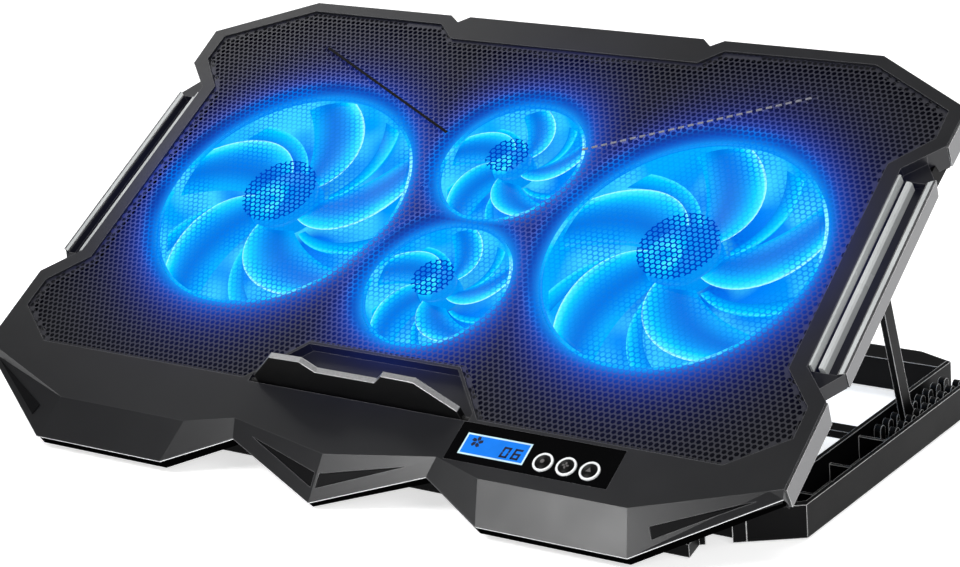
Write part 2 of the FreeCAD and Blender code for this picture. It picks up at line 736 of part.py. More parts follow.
def rear_beam():
    corner_x, corner_y = CHAMFER_BACK
    inner_y = chamfer_y(RAIL_INNER, CHAMFER_BACK, RAIL_BACK)
    half = [(corner_x, corner_y), (RAIL_INNER, inner_y), (RAIL_INNER, BEAM_BACK_Y)]
    beam = prism(both_sides(half), BASE_UNDER, BASE_TOP)
    pocket = [(corner_x - 1.0, corner_y - 2.2), (RAIL_INNER - 2.2, inner_y - 2.4),
              (RAIL_INNER - 2.2, BEAM_BACK_Y + 2.2)]
    return beam.cut(prism(both_sides(pocket), 0.0, BASE_TOP - 2.4))


def tooth_row(sign, inner):
    """One row of round-topped teeth on a low sill."""
    offset = ROW_GAP / 2 + ROW_WIDTH / 2
    middle = sign * (STRUT_X - offset if inner else STRUT_X + offset)
    x0, x1 = middle - ROW_WIDTH / 2, middle + ROW_WIDTH / 2
    last = TEETH_FROM + TOOTH_PITCH * (TEETH - 1)
    half = 2.1
    shapes = [box(x0, x1, TEETH_FROM - 3.2, last + 3.2, CHANNEL_FLOOR, 7.4)]
    for i in range(TEETH):
        y = TEETH_FROM + TOOTH_PITCH * i
        shapes.append(box(x0, x1, y - half, y + half, 6.0, TOOTH_TOP - half))
        shapes.append(rod_x(x0, x1, y, TOOTH_TOP - half, half))
    return join(shapes)


def foot_ramp(sign):
    """Ramp between the two rows, just under the path of the strut's foot."""
    x = STRUT_X * sign
    half = ROW_GAP / 2 - 0.2
    under = STRUT_WIDTH / 2 + 0.5
    path = []
    for i in range(FOLDED_STEPS):
        y, z = foot_path(DECK_TILT + 3.2 - 1.6 * i)
        if z - under > CHANNEL_FLOOR + 0.3:
            path.append((y, z - under))
    ends = [(path[-1][0] + 6.0, CHANNEL_FLOOR), (path[0][0], CHANNEL_FLOOR)]
    return slab_x([*path, *ends], x - half, x + half)


def hinge_pin(sign):
    y, z = deck_to_stand(*hinge_deck_yz(), DECK_TILT)
    x = HINGE_AT * sign
    return rod_x(x - HINGE_HALF - 6.0, x + HINGE_HALF + 6.0, y, z, HINGE_PIN)


def rubber_foot(sign, y):
    foot = disc(186.0 * sign, y, 0.0, BASE_UNDER, 6.5)
    return foot


# ---- assembly -----------------------------------------------------------------------------
def place_on_deck(shape):
    """Tilts a shape from the deck's flat frame and sets it on the stand."""
    shape = shape.copy()
    shape.rotate(Vector(0, 0, 0), Vector(1, 0, 0), DECK_TILT)
    shape.translate(Vector(0, 0, DECK_RAISE))
    return shape


def deck_parts():
    frame = deck_frame()
    parts = {"deck_frame": frame, "deck_bottom_cover": bottom_cover(frame)}
    parts.update(side_trims())
    parts["mesh_panel"] = mesh_panel()
    parts["control_window"] = control_window()
    parts["lcd_module"] = lcd_module()
    parts["button_bezel"] = button_bezel()
    parts["control_pcb"] = control_pcb()
    parts["usb_board"] = usb_board()
    parts["laptop_stop"] = laptop_stop()
    parts["stop_hinge_rod"] = rod_x(-58.0, 58.0, *STOP_AT, STOP_ROD)
    for i, x in enumerate(BUTTON_X):
        parts[f"button_{i + 1}"] = button(x)
    for side, sign in (("left", -1), ("right", 1)):
        parts[f"light_bar_{side}"] = light_bar(sign)
        parts[f"accent_strip_{side}"] = accent_strip(sign)
        parts[f"usb_socket_{side}"] = usb_socket(sign)
        parts[f"strut_bracket_{side}"] = strut_bracket(sign)
    for name, place in fan_places().items():
        parts[f"fan_housing_{name}"] = fan_housing(*place)
        parts[f"fan_stator_{name}"] = fan_stator(*place)
        parts[f"impeller_{name}"] = impeller(*place)
    return {name: place_on_deck(shape) for name, shape in parts.items()}


def stand_parts():
    parts = {
        "base_front_beam": front_beam(),
        "base_middle_beam": middle_beam(),
        "base_rear_beam": rear_beam(),
    }
    for side, sign in (("left", -1), ("right", 1)):
        parts[f"base_rail_{side}"] = base_rail(sign)
        parts[f"tooth_row_inner_{side}"] = tooth_row(sign, True)
        parts[f"tooth_row_outer_{side}"] = tooth_row(sign, False)
        parts[f"foot_ramp_{side}"] = foot_ramp(sign)
        parts[f"hinge_pin_{side}"] = hinge_pin(sign)
        parts[f"strut_{side}"] = strut(sign)
        parts[f"foot_front_{side}"] = rubber_foot(sign, -8.0)
        parts[f"foot_rear_{side}"] = rubber_foot(sign, 118.0)
    return parts


def to_bottom_centre(parts):
    """Shift that puts the middle of the underside of the whole at the origin."""
    whole = Part.Compound(list(parts.values()))
    bounds = whole.optimalBoundingBox(False)
    return Vector(-bounds.Center.x, -bounds.Center.y, -bounds.ZMin)


def main():
    parts = {**deck_parts(), **stand_parts()}
    shift = to_bottom_centre(parts)
    for name, shape in parts.items():
        shape.translate(shift)
        solids = len(shape.Solids)
        if solids != 1 or not shape.isValid() or shape.Volume <= 0:
            print("check", name, "solids", solids, "valid", shape.isValid(), "volume", shape.Volume)
        shape.exportStep(f"parts/{name}.step")
    print(len(parts), "parts, shift", [round(c, 4) for c in shift])
    report_joints(shift)


def report_joints(shift):
    """Prints the joint places in the model's final frame, in metres."""
    def metres(x, y, z):
        point = Vector(x, y, z) + shift
        return [round(c / 1000, 6) for c in point]

    def on_deck(x, y, z):
        sy, sz = deck_to_stand(y, z, DECK_TILT)
        return metres(x, sy, sz)

    print("deck hinge", on_deck(0, *hinge_deck_yz()))
    print("strut pivot", on_deck(STRUT_X, *STRUT_TOP), "ratio", round(strut_ratio(), 5))
    print("stop", on_deck(0, *STOP_AT))
    for name, (x, y, _) in fan_places().items():
        print("fan", name, on_deck(x, y, -9.0))
    for x in BUTTON_X:
        print("button", on_deck(x, BUTTON_Y, 0.0))


main()
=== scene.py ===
"""Looks of the laptop cooling pad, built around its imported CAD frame. Lengths in MM are millimetres."""

import json
import math

import bmesh
import bpy
from mathutils import Matrix, Vector


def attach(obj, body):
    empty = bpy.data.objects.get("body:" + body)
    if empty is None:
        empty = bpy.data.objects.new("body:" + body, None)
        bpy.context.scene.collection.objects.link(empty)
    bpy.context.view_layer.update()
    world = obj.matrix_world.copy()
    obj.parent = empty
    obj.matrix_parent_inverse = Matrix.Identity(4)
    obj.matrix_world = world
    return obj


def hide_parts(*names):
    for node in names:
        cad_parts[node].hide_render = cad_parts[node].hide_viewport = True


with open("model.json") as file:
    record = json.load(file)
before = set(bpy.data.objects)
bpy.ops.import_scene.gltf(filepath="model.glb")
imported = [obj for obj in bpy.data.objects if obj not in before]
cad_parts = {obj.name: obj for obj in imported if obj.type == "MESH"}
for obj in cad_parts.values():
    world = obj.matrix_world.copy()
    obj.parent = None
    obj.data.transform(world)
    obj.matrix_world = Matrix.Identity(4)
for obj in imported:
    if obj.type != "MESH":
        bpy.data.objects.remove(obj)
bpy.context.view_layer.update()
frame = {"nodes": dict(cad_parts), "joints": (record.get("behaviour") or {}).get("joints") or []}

MM = 0.001
SIDES = ("left", "right")
WORLD = Matrix.Identity(4)
nodes = frame["nodes"]
joints = {j["name"]: j for j in frame["joints"]}

# ---- the deck's own frame: x across, y to the back, z = 0 on its top face -----------------------
STOP_Y = -48.45
STOP_AXIS = Vector((0.0, STOP_Y, -2.0)) * MM
deck_normal = Vector(joints["fan_right_spin"]["axis"])
deck_turn = Matrix.Rotation(math.atan2(-deck_normal.y, deck_normal.z), 4, "X")
stop_pivot = Vector(joints["stop_flip"]["pos_m"])
DECK = Matrix.Translation(stop_pivot - deck_turn @ STOP_AXIS) @ deck_turn
FROM_DECK = DECK.inverted()

# ---- sizes and places in the deck's frame, in millimetres; angles are degrees -------------------
FANS = {"left": 62.2, "right": 62.2, "rear": 34.3, "front": 34.3}  # radius of each fan's opening
MESH_PITCH = 2.75
HOLE_RADIUS = 1.13
SHEET_TOP = -0.9
RIDGES = [((-128.0, 139.7), (32.0, 65.4)), ((128.0, 139.7), (-32.0, 65.4))]  # ends of pressed lines
RIDGE_HEIGHT = 0.9
RIDGE_HALF = 1.5  # half a pressed line's width
CREASE_LEVELS = (-0.3, 0.08)
CREASE_CLEARANCE = 3.5  # least gap between a crease and a fan's opening
LEDGE_LEVELS = (-3.9, -3.7)

HOUSING_TOP = -6.4
BAFFLE_LEVEL = HOUSING_TOP + 0.7
SCREEN_LEVEL = -13.9
HUB_TOP = -6.15
HUB_LOW = -13.2
HUB_SHARE = 0.272  # a hub's radius as a share of its fan's opening
BLADES = 5  # and as many fixed vanes beneath
FIRST_BLADE = 35.0  # where the first blade leaves its hub
LEAD_SWEEP = 50.0  # how far a leading edge falls back from hub to tip
TRAIL_START = 58.0  # a trailing edge's place behind the leading edge, at the hub
TRAIL_SWEEP = 18.0  # and how much further behind it is at the tip
BLADE_LOW = -12.0
BLADE_RISE = 1.2  # how much higher a blade's low edge is at the tip
VANE_START = 62.0  # a fixed vane's place behind the root of the blade above it
VANE_SWEEP = 34.0  # how far it falls back from hub to tip
# a fixed vane's section: angle behind its front edge, height and glow
VANE_SECTION = ((0.0, -13.0, 0.86), (3.5, -13.1, 0.62), (11.0, -13.6, 0.2), (11.0, -13.8, 0.2),
                (0.0, -13.8, 0.5))
# brighter arcs of a rim light: middle, half width and strength
RIM_ARCS = ((20.0, 26.0, 1.0), (178.0, 20.0, 0.7), (305.0, 22.0, 0.75), (255.0, 25.0, 0.45))
RIM_TURNS = 120
HALO_NEAR = 7.0  # distances over which the fans' light fades
HALO_FAR = 16.0
LIT_REACH = 6.0  # how far outside an opening the panel is lit all over
LIT_FADE = 4.0  # distance over which that light starts
LIT_HUB = 0.29  # its dark middle, as a share of the opening's radius

# lower edge of the skirt, right half, from the side to the middle: x, y, z and the lip's depth
SKIRT_RIM = [(202.0, -57.4, -3.0, 5.5), (150.3, -93.9, -6.8, 5.5), (80.6, -93.9, -6.8, 5.5),
             (49.4, -77.9, -3.6, 5.0), (0.0, -97.8, -8.3, 3.9)]
# the bead is a painted highlight line along the skirt's lower edge
BEAD_RADIUS = 0.3
BEAD_DROP = 0.45
# corners of the skirt's tapered slots, right half: two at the wide end, then the point
SLOT_CORNERS = [
    [(155.1, -81.2, -2.2), (157.6, -85.6, -3.9), (193.3, -61.5, -1.6)],
    [(1.2, -86.6, -3.2), (1.2, -92.4, -5.7), (39.4, -76.4, -1.8)],
]
SLOT_FLOOR = (0.88, 0.5)  # depths of an inlay's two faces below the skirt
# top edge of the stop, right half: x and z
STOP_LINE = [(15.2, 13.2), (20.9, 18.6), (36.8, 18.2), (52.0, 3.4)]
STOP_HALF = 1.35  # half the stop's thickness
STRIP_THICK = 0.3

DISPLAY = (59.9, 90.8, -66.6, -56.1)  # left, right, front and back
DISPLAY_TOP = 0.15
DISPLAY_EDGE = 0.7
SEGMENTS = {"0": "abcdef", "6": "acdefg"}
DIGIT_STEP = 5.3
BUTTON_X = (99.4, 110.2, 121.0)
BUTTON_Y = -63.7
SIGN_LEVELS = (1.30, 1.52)


def fan_centre(name):
    """Middle of a fan in the deck's frame, in millimetres."""
    at = FROM_DECK @ Vector(joints[f"fan_{name}_spin"]["pos_m"])
    return at.x / MM, at.y / MM


# ---- materials ----------------------------------------------------------------------------------
class Paint:
    """One material's nodes, with short ways to add and join them."""

    def __init__(self, name="", material=None):
        self.material = material or bpy.data.materials.new(name)
        self.material.use_nodes = True
        self.tree = self.material.node_tree
        self.bsdf = self.tree.nodes["Principled BSDF"]
        self.out = self.tree.nodes["Material Output"]
        self.position = self.tree.nodes.new("ShaderNodeTexCoord").outputs["Object"]

    def add(self, kind, **values):
        """A new node, with the values given to its inputs or, failing that, to its settings."""
        node = self.tree.nodes.new(kind)
        for key, value in values.items():
            if key in node.inputs:
                node.inputs[key].default_value = value
            else:
                setattr(node, key, value)
        return node

    def join(self, source, target):
        self.tree.links.new(source, target)

    def calc(self, operation, a, b=0.0, clamp=False):
        """The result of a sum on two numbers or sockets."""
        node = self.add("ShaderNodeMath", operation=operation, use_clamp=clamp)
        for socket, value in zip(node.inputs, (a, b)):
            if isinstance(value, (int, float)):
                socket.default_value = value
            else:
                self.join(value, socket)
        return node.outputs[0]

    def noise(self, scale, detail=2.0, stretch=None):
        """Random cloud from 0 to 1, finer as scale grows."""
        node = self.add("ShaderNodeTexNoise", Scale=scale, Detail=detail)
        source = self.position
        if stretch:
            mapping = self.add("ShaderNodeMapping", Scale=stretch)
            self.join(self.position, mapping.inputs["Vector"])
            source = mapping.outputs["Vector"]
        self.join(source, node.inputs["Vector"])
        return node.outputs["Fac"]

    def in_deck_frame(self):
        """Makes the paint read its places in the deck's frame, on a piece drawn in the world's."""
        move = self.add("ShaderNodeMapping", Location=FROM_DECK.to_translation(),
                        Rotation=FROM_DECK.to_euler())
        self.join(self.position, move.inputs["Vector"])
        self.position = move.outputs["Vector"]

    def flat(self):
        """Places with their height taken off."""
        node = self.add("ShaderNodeVectorMath", operation="MULTIPLY")
        node.inputs[1].default_value = (1.0, 1.0, 0.0)
        self.join(self.position, node.inputs[0])
        return node.outputs["Vector"]

    def mix(self, share, a, b):
        """Colour a where share is 0, colour b where it is 1."""
        node = self.add("ShaderNodeMixRGB")
        self.join(share, node.inputs["Fac"])
        for socket, value in ((node.inputs["Color1"], a), (node.inputs["Color2"], b)):
            if isinstance(value, tuple):
                socket.default_value = (*value, 1.0)
            else:
                self.join(value, socket)
        return node.outputs["Color"]

    def edges(self, radius, gain):
        """1 along sharp edges, 0 elsewhere."""
        rounded = self.add("ShaderNodeBevel", samples=4, Radius=radius * MM)
        surface = self.add("ShaderNodeNewGeometry")
        along = self.add("ShaderNodeVectorMath", operation="DOT_PRODUCT")
        self.join(rounded.outputs["Normal"], along.inputs[0])
        self.join(surface.outputs["Normal"], along.inputs[1])
        turned = self.calc("SUBTRACT", 1.0, along.outputs["Value"])
        return self.calc("MULTIPLY", turned, gain, clamp=True)

    def ramp(self, source, stops):
        """Colours that follow a value, from stops of (value, colour)."""
        node = self.add("ShaderNodeValToRGB")
        ramp = node.color_ramp
        while len(ramp.elements) < len(stops):
            ramp.elements.new(0.5)
        for element, (place, colour) in zip(ramp.elements, stops):
            element.position = place
            element.color = (*colour, 1.0)
        self.join(source, node.inputs["Fac"])
        return node.outputs["Color"]

    def between(self, source, low, high):
        """A value from 0 to 1 stretched to run from low to high."""
        node = self.add("ShaderNodeMapRange", **{"To Min": low, "To Max": high})
        self.join(source, node.inputs["Value"])
        return node.outputs["Result"]

    def bump(self, height, distance, strength=1.0):
        node = self.add("ShaderNodeBump", Distance=distance, Strength=strength)
        self.join(height, node.inputs["Height"])
        self.join(node.outputs["Normal"], self.bsdf.inputs["Normal"])

    def set(self, **values):
        """Sets the shader's own sockets; an underscore in a name stands for a space."""
        for key, value in values.items():
            self.bsdf.inputs[key.replace("_", " ")].default_value = value


def shade(colour, factor):
    """A colour made lighter or darker."""
    return tuple(min(1.0, c * factor) for c in colour)


def moulded(name, colour, rough, grain=0.35, depth=0.02, shine=0.3, edge_highlight_colour=None, edge_highlight_gain=5.0):
    """Moulded plastic: slow colour drift, uneven gloss, a fine grain and, where an edge colour is given,
    a painted highlight along sharp edges.
    """
    p = Paint(name)
    drift = p.noise(18.0, 3.0)
    tint = p.ramp(drift, [(0.3, shade(colour, 0.88)), (0.7, shade(colour, 1.12))])
    # painted highlight: sharp edges turn towards the lighter edge colour
    if edge_highlight_colour:
        tint = p.mix(p.edges(0.45, edge_highlight_gain), tint, edge_highlight_colour)
    p.join(tint, p.bsdf.inputs["Base Color"])
    p.join(p.between(p.noise(60.0, 4.0), rough - 0.05, rough + 0.06), p.bsdf.inputs["Roughness"])
    p.bump(p.noise(1.0 / (grain * MM), 2.0), depth * MM, 0.6)
    p.set(Specular_IOR_Level=shine)
    return p.material


def metal(name, colour, rough, flake=0.0, edge_highlight_colour=None):
    """Metal or metallic paint, with a painted highlight along its edges where an edge colour is given."""
    p = Paint(name)
    p.set(Metallic=1.0)
    streak = p.noise(1500.0, 2.0)
    tint = p.ramp(streak, [(0.25, shade(colour, 0.86)), (0.75, shade(colour, 1.1))])
    # painted highlight: sharp edges turn towards the lighter edge colour
    if edge_highlight_colour:
        tint = p.mix(p.edges(0.4, 8.0), tint, edge_highlight_colour)
    p.join(tint, p.bsdf.inputs["Base Color"])
    p.join(p.between(streak, rough - 0.06, rough + 0.08), p.bsdf.inputs["Roughness"])
    p.bump(streak, (0.006 + flake) * MM, 0.5)
    return p.material


def glossy(name, colour, rough, shine=0.5):
    """Smooth, shiny surface with faint smears."""
    p = Paint(name)
    p.set(Specular_IOR_Level=shine)
    smear = p.noise(35.0, 4.0)
    p.join(p.ramp(smear, [(0.3, shade(colour, 0.9)), (0.8, shade(colour, 1.15))]),
           p.bsdf.inputs["Base Color"])
    p.join(p.between(smear, rough * 0.6, rough * 1.6), p.bsdf.inputs["Roughness"])
    p.bump(p.noise(240.0, 2.0), 0.004 * MM, 0.4)
    return p.material


def glowing(name, colour, strength, spread=0.15):
    """A lit surface whose glow is a little uneven."""
    p = Paint(name)
    cloud = p.noise(120.0, 2.0)
    lit = p.ramp(cloud, [(0.3, shade(colour, 1 - spread)), (0.7, shade(colour, 1 + spread))])
    p.join(lit, p.bsdf.inputs["Emission Color"])
    p.set(Base_Color=(0.0, 0.01, 0.03, 1.0), Emission_Strength=strength, Roughness=0.25,
          Specular_IOR_Level=0.1)
    return p.material


def board_paint():
    """Green circuit board with lighter tracks."""
    p = Paint("circuit_board")
    tracks = p.noise(500.0, 1.0, (1.0, 0.12, 1.0))
    p.join(p.ramp(tracks, [(0.48, (0.010, 0.10, 0.035)), (0.56, (0.03, 0.22, 0.09))]),
           p.bsdf.inputs["Base Color"])
    p.set(Roughness=0.35)
    p.bump(tracks, 0.02 * MM)
    return p.material


def fan_reach(p):
    """Distance outside the nearest fan opening in millimetres, negative inside, and the distance
    from the nearest fan's middle as a share of its radius."""
    flat = p.flat()
    nearest, share = 1e3, 1e3
    for name, radius in FANS.items():
        x, y = fan_centre(name)
        away = p.add("ShaderNodeVectorMath", operation="DISTANCE")
        away.inputs[1].default_value = (x * MM, y * MM, 0.0)
        p.join(flat, away.inputs[0])
        gone = p.calc("MULTIPLY", away.outputs["Value"], 1 / MM)
        nearest = p.calc("MINIMUM", p.calc("SUBTRACT", gone, radius), nearest)
        share = p.calc("MINIMUM", p.calc("DIVIDE", gone, radius), share)
    return nearest, share


def blue_halo(p, reach, near_share, far_share):
    """Blue light that fades outward from the fans, as an emission strength."""
    outside = p.calc("MAXIMUM", reach, 0.0)
    near = p.calc("POWER", math.e, p.calc("DIVIDE", outside, -HALO_NEAR))
    far = p.calc("POWER", math.e, p.calc("DIVIDE", outside, -HALO_FAR))
    p.join(p.ramp(near, [(0.0, (0.02, 0.06, 1.0)), (0.5, (0.0, 0.13, 1.0)), (1.0, (0.0, 0.32, 1.0))]),
           p.bsdf.inputs["Emission Color"])
    return p.calc("ADD", p.calc("MULTIPLY", near, near_share), p.calc("MULTIPLY", far, far_share))


def frame_paint():
    """The frame's plastic, with a little of the fans' light painted on it as a blue glow."""
    # its edge colour is a faint painted highlight along the frame's sharp edges
    material = moulded("frame_charcoal", (0.011, 0.0112, 0.0121), rough=0.34, shine=0.35,
                       edge_highlight_colour=(0.13, 0.13, 0.135))
    p = Paint(material=material)
    p.in_deck_frame()
    reach, _ = fan_reach(p)
    p.join(blue_halo(p, reach, near_share=0.2, far_share=0.035), p.bsdf.inputs["Emission Strength"])
    return material


def baffle_paint():
    """Black sheet with a painted glow of the fans' light round its openings."""
    p = Paint("baffle_black_painted_glow")
    p.bump(p.noise(900.0, 2.0), 0.02 * MM, 0.5)
    reach, _ = fan_reach(p)
    p.join(blue_halo(p, reach, near_share=0.85, far_share=0.05), p.bsdf.inputs["Emission Strength"])
    p.set(Base_Color=(0.003, 0.003, 0.0035, 1.0), Roughness=0.7, Specular_IOR_Level=0.1)
    return p.material


def bright_patches(p):
    """Soft painted bright patches of the fans' light, 0 to 1, that lie alike on the panel and on the
    screens under the blades.
    """
    cloud = p.add("ShaderNodeTexNoise", Scale=32.0, Detail=1.0)
    p.join(p.flat(), cloud.inputs["Vector"])
    return p.calc("MULTIPLY", p.calc("SUBTRACT", cloud.outputs["Fac"], 0.42), 5.0, clamp=True)


def over_fans(p, reach, share):
    """How far a place on the panel lies over a fan, and whether it lies over a hub, both 0 to 1."""
    over_fan = p.calc("MULTIPLY", p.calc("SUBTRACT", LIT_REACH, reach), 1 / LIT_FADE, clamp=True)
    return over_fan, p.calc("LESS_THAN", share, LIT_HUB)


def blend(p, share, first, second):
    """One shader passing into another."""
    node = p.add("ShaderNodeMixShader")
    p.join(share, node.inputs["Fac"])
    p.join(first, node.inputs[1])
    p.join(second, node.inputs[2])
    return node.outputs["Shader"]


def mesh_paint():
    """Painted perforated steel with a painted blue glow from the fans, darker over their hubs; over the
    fans the web turns partly see-through in patches, standing in for their glare.
    """
    p = Paint("perforated_steel")
    grain = p.noise(1400.0, 2.0)
    p.join(p.ramp(grain, [(0.3, (0.009, 0.009, 0.0105)), (0.7, (0.015, 0.015, 0.017))]),
           p.bsdf.inputs["Base Color"])
    p.join(p.between(grain, 0.36, 0.5), p.bsdf.inputs["Roughness"])
    p.bump(grain, 0.01 * MM, 0.6)
    reach, share = fan_reach(p)
    p.join(blue_halo(p, reach, near_share=0.8, far_share=0.2), p.bsdf.inputs["Emission Strength"])
    over_fan, on_hub = over_fans(p, reach, share)
    # painted glow over the fans, darker over their hubs
    lit = p.add("ShaderNodeEmission", Strength=1.0)
    p.join(p.mix(on_hub, (0.0, 0.21, 0.93), (0.0, 0.055, 0.55)), lit.inputs["Color"])
    web = blend(p, over_fan, p.bsdf.outputs["BSDF"], lit.outputs["Emission"])
    # over the fans the web turns partly see-through in soft patches, standing in for the glare of their
    # light
    clear = p.add("ShaderNodeBsdfTransparent")
    clearness = p.between(bright_patches(p), 0.85, 0.25)
    off_hub = p.calc("MULTIPLY", p.calc("SUBTRACT", 1.0, on_hub), clearness)
    see_through = p.calc("MULTIPLY", off_hub, over_fan)
    p.join(blend(p, see_through, web, clear.outputs["BSDF"]), p.out.inputs["Surface"])
    return p.material


def blade_paint():
    """Clear blue plastic that glows most along each blade's leading edge."""
    p = Paint("lit_blade")
    glow = p.add("ShaderNodeAttribute", attribute_name="glow").outputs["Fac"]
    lit = p.ramp(glow, [(0.0, (0.0, 0.12, 0.70)), (0.35, (0.0, 0.35, 0.95)),
                        (0.70, (0.0, 0.62, 1.0)), (0.93, (0.06, 0.84, 1.0)),
                        (1.0, (0.42, 0.98, 1.0))])
    p.join(lit, p.bsdf.inputs["Emission Color"])
    p.join(p.between(glow, 0.9, 1.15), p.bsdf.inputs["Emission Strength"])
    p.set(Base_Color=(0.0, 0.01, 0.05, 1.0), Roughness=0.4, Specular_IOR_Level=0.1)
    return p.material


def screen_paint():
    """The screens under the blades with the fan's light painted on as a glow: darker by the hub, with
    soft painted bright patches.
    """
    p = Paint("lit_screen")
    _, share = fan_reach(p)
    outward = p.ramp(share, [(0.25, (0.0, 0.10, 0.66)), (0.6, (0.0, 0.22, 0.92)),
                             (1.0, (0.0, 0.42, 1.0))])
    lit = p.mix(p.calc("MULTIPLY", bright_patches(p), 0.85), outward, (0.06, 0.75, 1.0))
    p.join(lit, p.bsdf.inputs["Emission Color"])
    p.set(Base_Color=(0.0, 0.01, 0.05, 1.0), Emission_Strength=1.0, Roughness=0.6,
          Specular_IOR_Level=0.1)
    return p.material


def rim_paint():
    """Light ring round a fan: a soft glow with brighter arcs."""
    p = Paint("fan_rim_light")
    glow = p.add("ShaderNodeAttribute", attribute_name="glow").outputs["Fac"]
    p.join(p.ramp(glow, [(0.0, (0.0, 0.25, 1.0)), (0.6, (0.0, 0.6, 1.0)), (1.0, (0.3, 0.95, 1.0))]),
           p.bsdf.inputs["Emission Color"])
    p.join(p.between(glow, 0.8, 1.2), p.bsdf.inputs["Emission Strength"])
    p.set(Base_Color=(0.0, 0.02, 0.08, 1.0), Roughness=0.5, Specular_IOR_Level=0.1)
    return p.material


PAINTS = {
    "frame": frame_paint(),
    "cover": moulded("cover_black", (0.003, 0.003, 0.0035), rough=0.5, depth=0.03, shine=0.08),
    # a darker, unreflecting copy of the cover's black: painted shade under the skirt
    "lip": moulded("lip_black_painted_shade", (0.0008, 0.0008, 0.0008), rough=0.8, shine=0.0),
    # edge colour: a bright painted highlight along the base's sharp edges
    "base": moulded("base_black", (0.003, 0.003, 0.0033), rough=0.40, shine=0.07,
                    edge_highlight_colour=(0.8, 0.8, 0.8), edge_highlight_gain=9.0),
    # edge colour: a painted highlight along the trims' edges
    "wall": metal("silver_wall", (0.17, 0.17, 0.175), rough=0.34, edge_highlight_colour=(0.9, 0.9, 0.9)),
    "bar": glossy("pearl_bar", (0.52, 0.54, 0.54), rough=0.22),
    "window": glossy("window_black", (0.001, 0.001, 0.0012), rough=0.12, shine=0.08),
    # near-white paint standing in for the bright reflection of a chrome ring
    "chrome": glossy("ring_chrome_painted_shine", (0.80, 0.81, 0.82), rough=0.2),
    "button": glossy("button_black", (0.002, 0.002, 0.002), rough=0.3, shine=0.1),
    # edge colour: a faint painted highlight along the stop's edges
    "stop": moulded("stop_black", (0.003, 0.003, 0.0032), rough=0.45, shine=0.12,
                    edge_highlight_colour=(0.05, 0.05, 0.05)),
    # edge colour: a bright painted highlight along the strut's edges
    "strut": moulded("strut_painted", (0.002, 0.002, 0.0022), rough=0.35, shine=0.08,
                     edge_highlight_colour=(0.9, 0.9, 0.91), edge_highlight_gain=14.0),
    # grey dashes that paint a highlight along the right ridge
    "dash": moulded("crease_painted_highlight", (0.22, 0.22, 0.27), rough=0.5, shine=0.2),
    "steel": metal("plain_steel", (0.60, 0.61, 0.62), rough=0.28),
    "rubber": moulded("foot_rubber", (0.02, 0.02, 0.02), rough=0.75, grain=0.5, depth=0.06),
    "edge": metal("stop_grip", (0.62, 0.62, 0.63), rough=0.32, flake=0.02),
    # bright bead that paints a highlight line along the skirt's lower edge
    "bead": metal("highlight_bead_metal", (0.75, 0.76, 0.77), rough=0.22),
    "board": board_paint(),
    "mesh": mesh_paint(),
    "blade": blade_paint(),
    "rim": rim_paint(),
    "baffle": baffle_paint(),
    "screen": screen_paint(),
}


# ---- pieces -------------------------------------------------------------------------------------
def piece(name, verts, faces, body, slot, paint, place=DECK, smooth=False):
    """A new mesh piece from points in millimetres in the frame that place gives."""
    mesh = bpy.data.meshes.new(name)
    mesh.from_pydata([Vector(v) * MM for v in verts], [], faces)
    mesh.materials.append(paint)
    if smooth:
        mesh.shade_smooth()
    obj = bpy.data.objects.new(name, mesh)
    bpy.context.scene.collection.objects.link(obj)
    obj.matrix_world = place
    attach(obj, body)
    return obj


def bevel(obj, width):
    """Rounds a piece's sharp edges."""
    edge = obj.modifiers.new("edge", "BEVEL")
    edge.width = width * MM
    edge.segments = 2
    edge.limit_method = "ANGLE"
    edge.angle_limit = math.radians(28.0)
    edge.harden_normals = False


def recalculate(obj):
    """Turns every face outward."""
    work = bmesh.new()
    work.from_mesh(obj.data)
    bmesh.ops.recalc_face_normals(work, faces=work.faces)
    work.to_mesh(obj.data)
    work.free()


def lathe(profile, turns=48):
    """Points and faces of a profile of (radius, height) spun round Z."""
    verts, faces = [], []
    for i in range(turns):
        a = 2 * math.pi * i / turns
        verts += [(r * math.cos(a), r * math.sin(a), z) for r, z in profile]
    rows = len(profile)
    for i in range(turns):
        j = (i + 1) % turns
        for k in range(rows - 1):
            faces.append((i * rows + k, j * rows + k, j * rows + k + 1, i * rows + k + 1))
    return verts, faces


def merge(*parts):
    """Several (points, faces) as one."""
    verts, faces = [], []
    for more, their in parts:
        faces += [tuple(i + len(verts) for i in face) for face in their]
        verts += more
    return verts, faces


def plates(name, outlines, levels, body, slot, paint, place=DECK):
    """One or more flat shapes with straight sides as one piece, from their outlines in plan."""
    parts = []
    for outline in outlines:
        count = len(outline)
        verts = [(x, y, z) for z in levels for x, y in outline]
        faces = [tuple(reversed(range(count))), tuple(range(count, 2 * count))]
        faces += [(i, (i + 1) % count, count + (i + 1) % count, count + i) for i in range(count)]
        parts.append((verts, faces))
    recalculate(piece(name, *merge(*parts), body, slot, paint, place))


def band(sections):
    """Points and faces of a closed bar through sections of equal length."""
    size = len(sections[0])
    verts = [corner for section in sections for corner in section]
    last = len(verts) - size
    faces = [tuple(reversed(range(size))), tuple(range(last, last + size))]
    for a in range(0, last, size):
        b = a + size
        faces += [(a + k, a + (k + 1) % size, b + (k + 1) % size, b + k) for k in range(size)]
    return verts, faces


def add_line(data, points, closed=False):
    """A straight-sided line through points in millimetres, added to a curve."""
    spline = data.splines.new("POLY")
    spline.points.add(len(points) - 1)
    for point, (x, y, z) in zip(spline.points, points):
        point.co = (x * MM, y * MM, z * MM, 1.0)
    spline.use_cyclic_u = closed


def give_glow(obj, values):
    """Stores how brightly each point glows, for the paints to read."""
    layer = obj.data.attributes.new("glow", "FLOAT", "POINT")
    layer.data.foreach_set("value", values)


